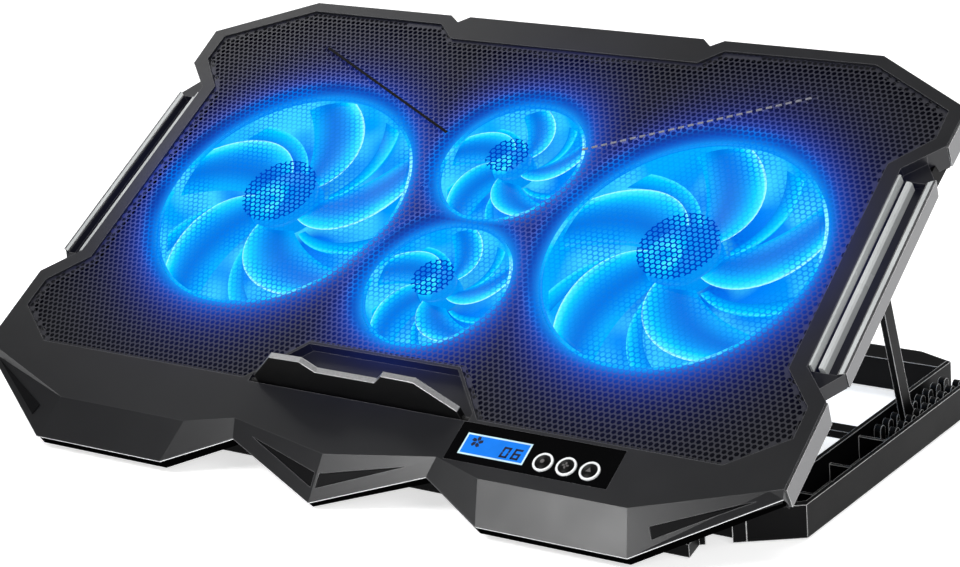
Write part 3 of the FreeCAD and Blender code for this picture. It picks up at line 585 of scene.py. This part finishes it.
# ---- carried-over CAD nodes ---------------------------------------------------------------------
def paint_node(name, paint, width):
    """Gives a CAD node its paint and, where width isn't 0, rounded edges."""
    obj = nodes[name]
    obj.data.materials.clear()
    obj.data.materials.append(PAINTS[paint])
    if width:
        bevel(obj, width)


def paint_nodes():
    """Paints every CAD node; each row is its paint and how far its edges are rounded."""
    plain = {
        "deck_frame": ("frame", 0.6),
        "deck_bottom_cover": ("cover", 0.3),
        "control_window": ("window", 0.15),
        "lcd_module": ("window", 0.1),
        "button_bezel": ("chrome", 0.1),
        "control_pcb": ("board", 0),
        "usb_board": ("board", 0),
        "stop_hinge_rod": ("base", 0.1),
        "laptop_stop": ("stop", 0.3),
        "base_front_beam": ("base", 0.5),
        "base_middle_beam": ("base", 0.4),
        "base_rear_beam": ("base", 0.6),
    }
    for side in SIDES:
        plain[f"light_bar_{side}"] = ("bar", 0.25)
        plain[f"accent_strip_{side}"] = ("bar", 0.15)
        plain[f"usb_socket_{side}"] = ("steel", 0)
        plain[f"strut_bracket_{side}"] = ("base", 0.2)
        plain[f"base_rail_{side}"] = ("base", 0.5)
        plain[f"tooth_row_inner_{side}"] = ("base", 0.2)
        plain[f"tooth_row_outer_{side}"] = ("base", 0.2)
        plain[f"foot_ramp_{side}"] = ("base", 0)
        plain[f"hinge_pin_{side}"] = ("steel", 0.1)
        plain[f"strut_{side}"] = ("strut", 0.3)
        plain[f"foot_front_{side}"] = ("rubber", 0.2)
        plain[f"foot_rear_{side}"] = ("rubber", 0.2)
        for where in ("rear", "rail", "front"):
            plain[f"trim_{where}_{side}"] = ("wall", 0.2)
    for fan in FANS:
        plain[f"fan_housing_{fan}"] = ("cover", 0)
        plain[f"fan_stator_{fan}"] = ("cover", 0)
    for i in (1, 2, 3):
        plain[f"button_{i}"] = ("button", 0)
    for name, (paint, width) in plain.items():
        paint_node(name, paint, width)


# ---- perforated panel ---------------------------------------------------------------------------
def top_outline(node):
    """Outline of a CAD node's upper face, in order, in the deck's frame in millimetres."""
    work = bmesh.new()
    work.from_mesh(nodes[node].data)
    bmesh.ops.remove_doubles(work, verts=work.verts, dist=0.01 * MM)
    work.transform(FROM_DECK)
    top = max(v.co.z for v in work.verts)
    upper = [f for f in work.faces if all(v.co.z > top - 0.05 * MM for v in f.verts)]
    onward = {}
    for face in upper:
        for loop in face.loops:
            if sum(f in upper for f in loop.edge.link_faces) == 1:
                onward[loop.vert] = loop.link_loop_next.vert
    start = here = next(iter(onward))
    points = []
    while True:
        points.append((here.co.x / MM, here.co.y / MM))
        here = onward[here]
        if here is start:
            break
    work.free()
    return points


def nearest_on_side(start, end, x, y):
    """Distance from a point to a straight side, and the nearest place on it."""
    (ax, ay), (bx, by) = start, end
    dx, dy = bx - ax, by - ay
    t = max(0.0, min(1.0, ((x - ax) * dx + (y - ay) * dy) / (dx * dx + dy * dy)))
    px, py = ax + dx * t, ay + dy * t
    return math.hypot(px - x, py - y), px, py


def nearest_on(outline, x, y):
    """Distance from a point to an outline, and the nearest place on it."""
    return min(nearest_on_side(a, b, x, y) for a, b in zip(outline, outline[1:] + outline[:1]))


def inside(outline, x, y):
    """Whether a point lies inside an outline."""
    crossings = False
    for (ax, ay), (bx, by) in zip(outline, outline[1:] + outline[:1]):
        if (ay > y) != (by > y) and x < ax + (y - ay) / (by - ay) * (bx - ax):
            crossings = not crossings
    return crossings


def ridge_lift(x, y):
    """How far the two pressed lines raise the sheet at a point."""
    away = min(nearest_on_side(*ends, x, y)[0] for ends in RIDGES)
    return RIDGE_HEIGHT * max(0.0, 1.0 - (away / RIDGE_HALF) ** 2)


def cell_centres(outline):
    """Middles of the hexagonal cells that lie inside an outline."""
    row_step = MESH_PITCH * math.sqrt(3) / 2
    reach = max(x for x, _ in outline)
    front, back = min(y for _, y in outline), max(y for _, y in outline)
    for row in range(int(front / row_step) - 1, int(back / row_step) + 2):
        for column in range(-int(reach / MESH_PITCH) - 1, int(reach / MESH_PITCH) + 2):
            x, y = (column + 0.5 * (row % 2)) * MESH_PITCH, row * row_step
            if inside(outline, x, y):
                yield x, y


def perforated_panel():
    """A sheet of hexagonal cells, each with its own hole, cut off at the panel's outline."""
    outline = top_outline("mesh_panel")
    corner = MESH_PITCH / math.sqrt(3)
    turns = [math.radians(30 + 60 * k) for k in range(6)]
    verts, faces, known = [], [], {}

    def add_point(x, y):
        verts.append((x, y, SHEET_TOP + ridge_lift(x, y)))
        return len(verts) - 1

    def shared_point(x, y, near_edge):
        key = (round(x * 20), round(y * 20))
        if key not in known:
            if near_edge and not inside(outline, x, y):
                _, x, y = nearest_on(outline, x, y)
            known[key] = add_point(x, y)
        return known[key]

    for cx, cy in cell_centres(outline):
        away = nearest_on(outline, cx, cy)[0]
        near_edge = away < corner + 0.1
        rim = [shared_point(cx + corner * math.cos(a), cy + corner * math.sin(a), near_edge)
               for a in turns]
        if away < HOLE_RADIUS + 0.25:
            faces.append(tuple(rim))
            continue
        hole = [add_point(cx + HOLE_RADIUS * math.cos(a), cy + HOLE_RADIUS * math.sin(a)) for a in turns]
        faces += [(rim[k], rim[k - 5], hole[k - 5], hole[k]) for k in range(6)]
    sheet = piece("mesh_sheet", verts, faces, "deck", "mesh_metal", PAINTS["mesh"])
    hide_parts("mesh_panel")


def crease_spans(start, end, dash, gap):
    """Stretches of a crease that lie clear of the fans, as pairs of points."""
    length = math.dist(start, end)
    ux, uy = (end[0] - start[0]) / length, (end[1] - start[1]) / length
    at = 1.0
    while at + dash < length:
        x, y = start[0] + ux * at, start[1] + uy * at
        if all(math.dist((x, y), fan_centre(name)) > radius + CREASE_CLEARANCE
               for name, radius in FANS.items()):
            yield (x, y), (x + ux * dash, y + uy * dash)
        at += dash + gap


def crease(name, ends, dash, gap, wide, paint):
    """A line along a pressed ridge, whole or in dashes: in a dark paint it is a painted shade line, in a
    light one painted highlight dashes.
    """
    shapes = []
    for (ax, ay), (bx, by) in crease_spans(*ends, dash, gap):
        nx, ny = 0.5 * wide * (ay - by) / dash, 0.5 * wide * (bx - ax) / dash
        shapes.append([(ax - nx, ay - ny), (bx - nx, by - ny), (bx + nx, by + ny), (ax + nx, ay + ny)])
    plates(name, shapes, CREASE_LEVELS, "deck", "mesh_metal", PAINTS[paint])


def ledge_strip(side):
    """Bright strip on the ledge outside a side rail's trough."""
    outline = top_outline(f"trim_rail_{side}")
    middle = sum(y for _, y in outline) / len(outline)
    ends = [[p for p in outline if p[1] < middle], [p for p in outline if p[1] >= middle]]
    corners = []
    for end, step in zip(ends, (1, -1)):
        a, b = min(end), max(end)
        pair = [(a[0] + (b[0] - a[0]) * t, a[1] + (b[1] - a[1]) * t) for t in (0.2, 0.85)]
        corners += pair[::step]
    plates(f"ledge_strip_{side}", [corners], LEDGE_LEVELS, "deck", "silver_trim", PAINTS["bar"])


def light_baffle():
    """Dark sheet under the panel with a round opening over each fan."""
    data = bpy.data.curves.new("light_baffle", "CURVE")
    data.dimensions = "2D"
    data.fill_mode = "BOTH"
    data.extrude = 0.12 * MM
    circle = [(math.cos(k * math.pi / 36), math.sin(k * math.pi / 36)) for k in range(72)]
    add_line(data, [(x, y, 0.0) for x, y in top_outline("mesh_panel")], closed=True)
    for name, radius in FANS.items():
        x, y = fan_centre(name)
        add_line(data, [(x + radius * px, y + radius * py, 0.0) for px, py in circle], closed=True)
    data.materials.append(PAINTS["baffle"])
    sheet = bpy.data.objects.new("light_baffle", data)
    bpy.context.scene.collection.objects.link(sheet)
    sheet.matrix_world = DECK @ Matrix.Translation((0.0, 0.0, BAFFLE_LEVEL * MM))
    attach(sheet, "deck")


# ---- front skirt --------------------------------------------------------------------------------
def skirt_line():
    """The skirt's lower edge from right to left."""
    return SKIRT_RIM + [(-x, y, z, drop) for x, y, z, drop in SKIRT_RIM[-2::-1]]


def on_deck(x, y, z):
    """A point of the deck's frame in the world's, both in millimetres."""
    return tuple(DECK @ (Vector((x, y, z)) * MM) / MM)


def skirt_highlight_bead():
    """Bright metal bead in the seam between the front skirt and the bottom cover, a painted highlight
    line along the skirt's lower edge.
    """
    data = bpy.data.curves.new("skirt_highlight_bead", "CURVE")
    data.dimensions = "3D"
    data.bevel_depth = BEAD_RADIUS * MM
    data.bevel_resolution = 2
    add_line(data, [on_deck(x, y, z - BEAD_DROP) for x, y, z, _ in skirt_line()])
    data.materials.append(PAINTS["bead"])
    bead = bpy.data.objects.new("skirt_highlight_bead", data)
    bpy.context.scene.collection.objects.link(bead)
    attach(bead, "deck")


def skirt_lip():
    """Black lip of the bottom cover, seen as a dark line under the bead; its paint, a darker and
    unreflecting copy of the cover's black, also makes it painted shade under the skirt.
    """
    start, back = 0.8, 4.0  # how far below the skirt's edge the lip starts, and how far back it goes
    sections = []
    for x, y, z, drop in skirt_line():
        corners = [(y + 0.3, z - start), (y + 0.6, z - drop), (y + back, z - drop), (y + back, z - start)]
        sections.append([on_deck(0.996 * x, cy, cz) for cy, cz in corners])
    recalculate(piece("skirt_lip", *band(sections), "deck", "black_cover", PAINTS["lip"], WORLD))


def slot_inlays():
    """Dark inlays on the floors of the tapered slots in the skirt."""
    parts = []
    for sign in (1, -1):
        for corners in SLOT_CORNERS:
            a, b, tip = (Vector((x * sign, y, z)) for x, y, z in corners)
            normal = (b - a).cross(tip - a).normalized()
            if normal.z < 0:
                normal = -normal
            middle = (a + b + tip) / 3
            inner = [middle + (p - middle) * 0.97 for p in (a, b, tip)]
            verts = [p - normal * depth for depth in SLOT_FLOOR for p in inner]
            parts.append((verts, [(0, 2, 1), (3, 4, 5), (0, 1, 4, 3), (1, 2, 5, 4), (2, 0, 3, 5)]))
    recalculate(piece("slot_inlays", *merge(*parts), "deck", "black_cover", PAINTS["cover"]))


# ---- fans ---------------------------------------------------------------------------------------
def fan_place(name):
    """Where a fan's own frame lies, with z = 0 on the deck's top face."""
    x, y = fan_centre(name)
    return DECK @ Matrix.Translation((x * MM, y * MM, 0.0))


def blade_point(hub, tip, turn, part, chord, side):
    """A point of a blade: part runs from hub to tip, chord from the leading edge to the trailing one,
    and side is 1 on its upper face, -1 on its lower one."""
    radius = hub + (tip - hub) * part
    lead = turn + LEAD_SWEEP * part ** 1.4
    trail = turn + TRAIL_START + TRAIL_SWEEP * part
    angle = math.radians(lead + (trail - lead) * chord)
    high = HUB_TOP - 0.85
    low = BLADE_LOW + BLADE_RISE * part
    middle = high + (low - high) * (0.35 * chord + 0.65 * chord * chord)
    half = 0.5 * math.sqrt(max(0.02, 1.0 - (2.0 * chord - 1.0) ** 4))
    return radius * math.cos(angle), radius * math.sin(angle), middle + side * half


def blade_faces(steps):
    """Faces of a closed shell made of two square nets of points, one above the other."""
    wide = steps + 1
    size = wide * wide
    faces = []
    for i in range(steps):
        for k in range(steps):
            a, b, c, d = i * wide + k, i * wide + k + 1, (i + 1) * wide + k + 1, (i + 1) * wide + k
            faces += [(a, b, c, d), (size + a, size + d, size + c, size + b)]
    rim = list(range(wide))
    rim += [i * wide + steps for i in range(1, wide)]
    rim += [steps * wide + k for k in range(steps - 1, -1, -1)]
    rim += [i * wide for i in range(steps - 1, 0, -1)]
    faces += [(a, size + a, size + b, b) for a, b in zip(rim, rim[1:] + rim[:1])]
    return faces


def blade_mesh(hub, tip, turn):
    """One swept blade as a closed, slightly cambered shell, with its glow at each point."""
    steps = 14
    net = [(i / steps, k / steps) for i in range(steps + 1) for k in range(steps + 1)]
    verts = [blade_point(hub, tip, turn, part, chord, side) for side in (1, -1) for part, chord in net]
    glow = [blade_glow(chord, part) for part, chord in net] * 2
    return verts, blade_faces(steps), glow


def blade_glow(chord, part):
    """Bright at the leading edge, dark past the middle and brighter again at the back edge."""
    if chord < 0.04:
        return 1.0
    front = 0.86 * math.exp(-(chord / 0.34) ** 2)
    back = 0.42 * math.exp(-((1.0 - chord) / 0.22) ** 2)
    return min(0.92, max(front, back) * (0.75 + 0.35 * part) + 0.08)


def hub_cup(hub):
    """Points and faces of the cup in an impeller's middle, open below, bored for its shaft from below
    and with a small eye above."""
    wall, skin, bore, eye = 1.6, 2.0, 1.25, 0.3
    return lathe([(eye, HUB_TOP - 0.5), (eye, HUB_TOP), (0.5 * hub, HUB_TOP),
                  (hub - 1.0, HUB_TOP - 0.15), (hub - 0.2, HUB_TOP - 0.6), (hub, HUB_TOP - 1.6),
                  (hub, HUB_LOW), (hub - wall, HUB_LOW), (hub - wall, HUB_TOP - skin),
                  (bore, HUB_TOP - skin), (bore, HUB_TOP - 0.5), (eye, HUB_TOP - 0.5)])


def impeller_lit(name, radius):
    """The turning part of a fan: a hub and its swept blades, lit from within."""
    hub, tip = HUB_SHARE * radius, radius - 1.7
    cup = hub_cup(hub)
    parts, glow = [cup], [hub_glow(*v[:2], hub) for v in cup[0]]
    for i in range(BLADES):
        verts, faces, lit = blade_mesh(hub - 0.6, tip, FIRST_BLADE + 360.0 / BLADES * i)
        parts.append((verts, faces))
        glow += lit
    impeller = piece(f"impeller_lit_{name}", *merge(*parts), f"fan_{name}", "fan_blade",
                     PAINTS["blade"], fan_place(name), smooth=True)
    give_glow(impeller, glow)
    recalculate(impeller)
    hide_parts(f"impeller_{name}")


def hub_glow(x, y, hub):
    """The hub is dim, with a lit crescent left of its middle."""
    away = math.hypot(x + 0.45 * hub, y + 0.1 * hub)
    return 0.28 + 0.66 * math.exp(-((away - 0.35 * hub) / (0.25 * hub)) ** 2) * (x < 0)


def rim_glow(angle):
    """How brightly a rim light glows in a direction."""
    value = 0.12
    for middle, width, peak in RIM_ARCS:
        off = (angle - middle + 180.0) % 360.0 - 180.0
        value = max(value, peak * math.exp(-(off / width) ** 2))
    return value


def rim_light(name, radius):
    """Narrow lit lip round the opening."""
    low = HOUSING_TOP + 0.1
    profile = [(radius - 0.1, low), (radius - 0.1, low + 0.8), (radius - 0.9, low + 1.0),
               (radius - 1.5, low + 0.6), (radius - 1.5, low), (radius - 0.1, low)]
    lip = piece(f"rim_light_{name}", *lathe(profile, RIM_TURNS), "deck", "fan_blade", PAINTS["rim"],
                fan_place(name), smooth=True)
    give_glow(lip, [rim_glow(360.0 * i / RIM_TURNS) for i in range(RIM_TURNS) for _ in profile])
    recalculate(lip)


def guide_vanes(name, radius):
    """Fixed curved vanes on the screen, seen between the blades."""
    rows = 12
    hub, tip = 0.3 * radius, radius - 1.6
    vanes = []
    for i in range(BLADES):
        sections = []
        for row in range(rows + 1):
            part = row / rows
            reach = hub + (tip - hub) * part
            front = FIRST_BLADE + 360.0 / BLADES * i + VANE_START + VANE_SWEEP * part ** 1.2
            angles = [math.radians(front + turn) for turn, _, _ in VANE_SECTION]
            sections.append([(reach * math.cos(a), reach * math.sin(a), z)
                             for a, (_, z, _) in zip(angles, VANE_SECTION)])
        vanes.append(band(sections))
    ring = piece(f"guide_vanes_{name}", *merge(*vanes), "deck", "fan_blade", PAINTS["blade"],
                 fan_place(name))
    give_glow(ring, [lit for _, _, lit in VANE_SECTION] * ((rows + 1) * BLADES))
    recalculate(ring)


def dust_screen(name, radius):
    """Fine screen under the blades, with the fan's light painted on it as a glow, and a wall up to the
    housing's top.
    """
    x, y = fan_centre(name)
    inner = 0.21 * radius
    low = SCREEN_LEVEL - 0.4
    verts, faces = lathe([(inner, low), (radius - 0.3, low), (radius - 0.3, HOUSING_TOP),
                          (radius - 0.7, HOUSING_TOP), (radius - 1.3, SCREEN_LEVEL),
                          (inner, SCREEN_LEVEL), (inner, low)], 72)
    verts = [(px + x, py + y, pz) for px, py, pz in verts]
    recalculate(piece(f"dust_screen_{name}", verts, faces, "deck", "fan_blade", PAINTS["screen"]))


# ---- display and buttons ------------------------------------------------------------------------
def segment_shapes(segments, x, y, wide, tall, stroke):
    """Outlines of one seven-segment digit, leaning a little."""
    half = tall / 2
    bars = {
        "a": (0, tall - stroke, wide, tall), "d": (0, 0, wide, stroke),
        "g": (0, half - stroke / 2, wide, half + stroke / 2),
        "f": (0, half, stroke, tall), "e": (0, 0, stroke, half),
        "b": (wide - stroke, half, wide, tall), "c": (wide - stroke, 0, wide, half),
    }
    gap = 0.12
    shapes = []
    for letter in segments:
        x0, y0, x1, y1 = bars[letter]
        corners = [(x0 + gap, y0 + gap), (x1 - gap, y0 + gap), (x1 - gap, y1 - gap), (x0 + gap, y1 - gap)]
        shapes.append([(x + px + 0.12 * py, y + py) for px, py in corners])
    return shapes


def rectangle(x0, y0, x1, y1):
    """Outline of a rectangle between two opposite corners."""
    return [(x0, y0), (x1, y0), (x1, y1), (x0, y1)]


def petal(x, y, size, turn):
    """One blade of a small fan sign."""
    points = [(0.12, 0.0), (0.50, -0.36), (1.0, -0.20), (0.98, 0.28), (0.5, 0.26)]
    c, s = math.cos(turn) * size, math.sin(turn) * size
    return [(x + px * c - py * s, y + px * s + py * c) for px, py in points]


def display():
    """Lit face with a pale border, two dark digits and a small fan sign."""
    x0, x1, y0, y1 = DISPLAY
    inset, edge = 0.3, DISPLAY_EDGE
    top = DISPLAY_TOP + 0.12
    blue = glowing("display_blue", (0.012, 0.22, 0.92), strength=1.0, spread=0.08)
    plates("display_face", [rectangle(x0 + inset, y0 + inset, x1 - inset, y1 - inset)],
           (DISPLAY_TOP, DISPLAY_TOP + 0.06), "deck", "display", blue)
    border = [rectangle(x0, y0, x1, y0 + edge), rectangle(x0, y1 - edge, x1, y1),
              rectangle(x0, y0 + edge, x0 + edge, y1 - edge),
              rectangle(x1 - edge, y0 + edge, x1, y1 - edge)]
    plates("display_border", border, (DISPLAY_TOP, top), "deck", "display",
           glowing("display_edge", (0.62, 0.86, 1.0), strength=1.1))
    dark = glossy("display_ink", (0.002, 0.006, 0.03), rough=0.3)
    digits = []
    for i, digit in enumerate("06"):
        digits += segment_shapes(SEGMENTS[digit], x0 + 18.6 + DIGIT_STEP * i, y0 + 1.5,
                                 wide=3.9, tall=5.6, stroke=1.2)
    sign = [petal(x0 + 6.0, y0 + 6.8, 2.7, math.radians(72 * i + 10)) for i in range(5)]
    for name, shapes in (("display_digits", digits), ("display_fan_sign", sign)):
        plates(name, shapes, (top - 0.04, top), "deck", "display", dark)


def buttons():
    """A small sign on each black cap: a disc, a fan and an arrow head."""
    ink = moulded("button_sign", (0.10, 0.095, 0.095), rough=0.5)
    disc = [[(math.cos(k * math.pi / 4), math.sin(k * math.pi / 4)) for k in range(8)]]
    small_fan = [petal(0.0, 0.0, 1.5, math.radians(90 * k)) for k in range(4)]
    arrow_head = [[(-1.2, -0.9), (1.2, -0.9), (0.0, 1.2)]]
    for i, (x, sign) in enumerate(zip(BUTTON_X, (disc, small_fan, arrow_head)), 1):
        place = DECK @ Matrix.Translation((x * MM, BUTTON_Y * MM, 0.0))
        plates(f"button_sign_{i}", sign, SIGN_LEVELS, f"button_{i}", "button_black", ink, place)


# ---- laptop stop --------------------------------------------------------------------------------
def stop_edge():
    """Grey grip strip along the top edge of the laptop stop."""
    line = [(-x, z) for x, z in STOP_LINE[::-1]] + STOP_LINE
    y0, y1 = STOP_Y - STOP_HALF, STOP_Y + STOP_HALF
    sections = [[(x, y0, z), (x, y1, z), (x, y1, z + STRIP_THICK), (x, y0, z + STRIP_THICK)]
                for x, z in line]
    strip = piece("stop_grip_strip", *band(sections), "stop", "silver_trim", PAINTS["edge"])
    recalculate(strip)
    bevel(strip, 0.1)


# ---- stage --------------------------------------------------------------------------------------
# lamps: place, the point they face, width and height in metres, and power in watts
LAMPS = {
    "back": ((0.25, 1.1, 2.0), (0, 0.1, 0), (1.2, 1.0), 26.0),
    "right": ((1.25, -0.75, 0.75), (0.1, 0, 0.05), (0.7, 0.6), 9.0),
    "left": ((-1.3, 0.6, 1.3), (0, 0.1, 0), (0.7, 0.5), 4.0),
    "skirt": ((-0.10, -0.40, 0.36), (0.13, -0.13, 0), (0.16, 0.16), 1.6),
}
SKY_STRENGTH = 0.17
FLOOR_HALF = 6.0  # metres


def area_light(name, at, look, size, power):
    """A soft lamp that the camera doesn't see."""
    data = bpy.data.lights.new(name, "AREA")
    data.shape = "RECTANGLE"
    data.size, data.size_y = size
    data.energy = power
    light = bpy.data.objects.new(name, data)
    light.location = at
    light.rotation_mode = "QUATERNION"
    light.rotation_quaternion = (Vector(look) - Vector(at)).to_track_quat("-Z", "Y")
    light.visible_camera = False
    bpy.context.scene.collection.objects.link(light)


def floor_paint():
    """Near-white floor with the faintest unevenness."""
    p = Paint("floor_pale")
    speckle = p.noise(6.0, 3.0)
    p.join(p.ramp(speckle, [(0.2, (0.86, 0.86, 0.86)), (0.8, (0.90, 0.90, 0.90))]),
           p.bsdf.inputs["Base Color"])
    p.join(p.between(speckle, 0.66, 0.70), p.bsdf.inputs["Emission Strength"])
    p.set(Roughness=0.6, Emission_Color=(1.0, 1.0, 1.0, 1.0), Specular_IOR_Level=0.1)
    return p.material


def stage():
    """Pale floor, white surroundings and soft lamps."""
    mesh = bpy.data.meshes.new("floor")
    half = FLOOR_HALF
    corners = [(-half, -half, 0), (half, -half, 0), (half, half, 0), (-half, half, 0)]
    mesh.from_pydata(corners, [], [(0, 1, 2, 3)])
    mesh.materials.append(floor_paint())
    floor = bpy.data.objects.new("floor", mesh)
    bpy.context.scene.collection.objects.link(floor)
    world = bpy.data.worlds.new("studio")
    world.use_nodes = True
    sky = world.node_tree.nodes["Background"]
    sky.inputs["Color"].default_value = (1.0, 1.0, 1.0, 1.0)
    sky.inputs["Strength"].default_value = SKY_STRENGTH
    bpy.context.scene.world = world
    for name, lamp in LAMPS.items():
        area_light(name, *lamp)


CAMERA_LOOK = (-0.0035, 0.0202, 0.0537)  # metres
CAMERA_AWAY = 1.3094
CAMERA_AZIMUTH = 36.0  # degrees, and so the next two
CAMERA_ELEVATION = 18.95
CAMERA_ROLL = -4.57
CAMERA_LENS = 113.2


def camera():
    """Camera at a distance from the point it looks at, leaning a little."""
    data = bpy.data.cameras.new("camera")
    data.lens = CAMERA_LENS
    data.sensor_width = 36.0
    data.clip_end = 50.0
    obj = bpy.data.objects.new("camera", data)
    a, e, r = (math.radians(d) for d in (CAMERA_AZIMUTH, CAMERA_ELEVATION, CAMERA_ROLL))
    back = Vector((math.sin(a) * math.cos(e), -math.cos(a) * math.cos(e), math.sin(e)))
    level = Vector((0, 0, 1)).cross(back).normalized()
    upright = back.cross(level)
    right = level * math.cos(r) + upright * math.sin(r)
    up = back.cross(right)
    turn = Matrix((right, up, back)).transposed().to_4x4()
    obj.matrix_world = Matrix.Translation(Vector(CAMERA_LOOK) + back * CAMERA_AWAY) @ turn
    bpy.context.scene.collection.objects.link(obj)
    bpy.context.scene.camera = obj


bpy.context.scene.view_settings.view_transform = "Standard"
camera()
stage()
paint_nodes()
perforated_panel()
for rail_side in SIDES:
    ledge_strip(rail_side)
# painted shade: a black line along the left ridge; painted highlight: grey dashes along the right one
crease("crease_left", RIDGES[0], dash=4.0, gap=0.0, wide=1.2, paint="cover")
crease("crease_right", RIDGES[1], dash=2.6, gap=1.7, wide=1.0, paint="dash")
light_baffle()
skirt_highlight_bead()
skirt_lip()
slot_inlays()
for fan_name, fan_radius in FANS.items():
    impeller_lit(fan_name, fan_radius)
    rim_light(fan_name, fan_radius)
    dust_screen(fan_name, fan_radius)
    guide_vanes(fan_name, fan_radius)
display()
buttons()
stop_edge()
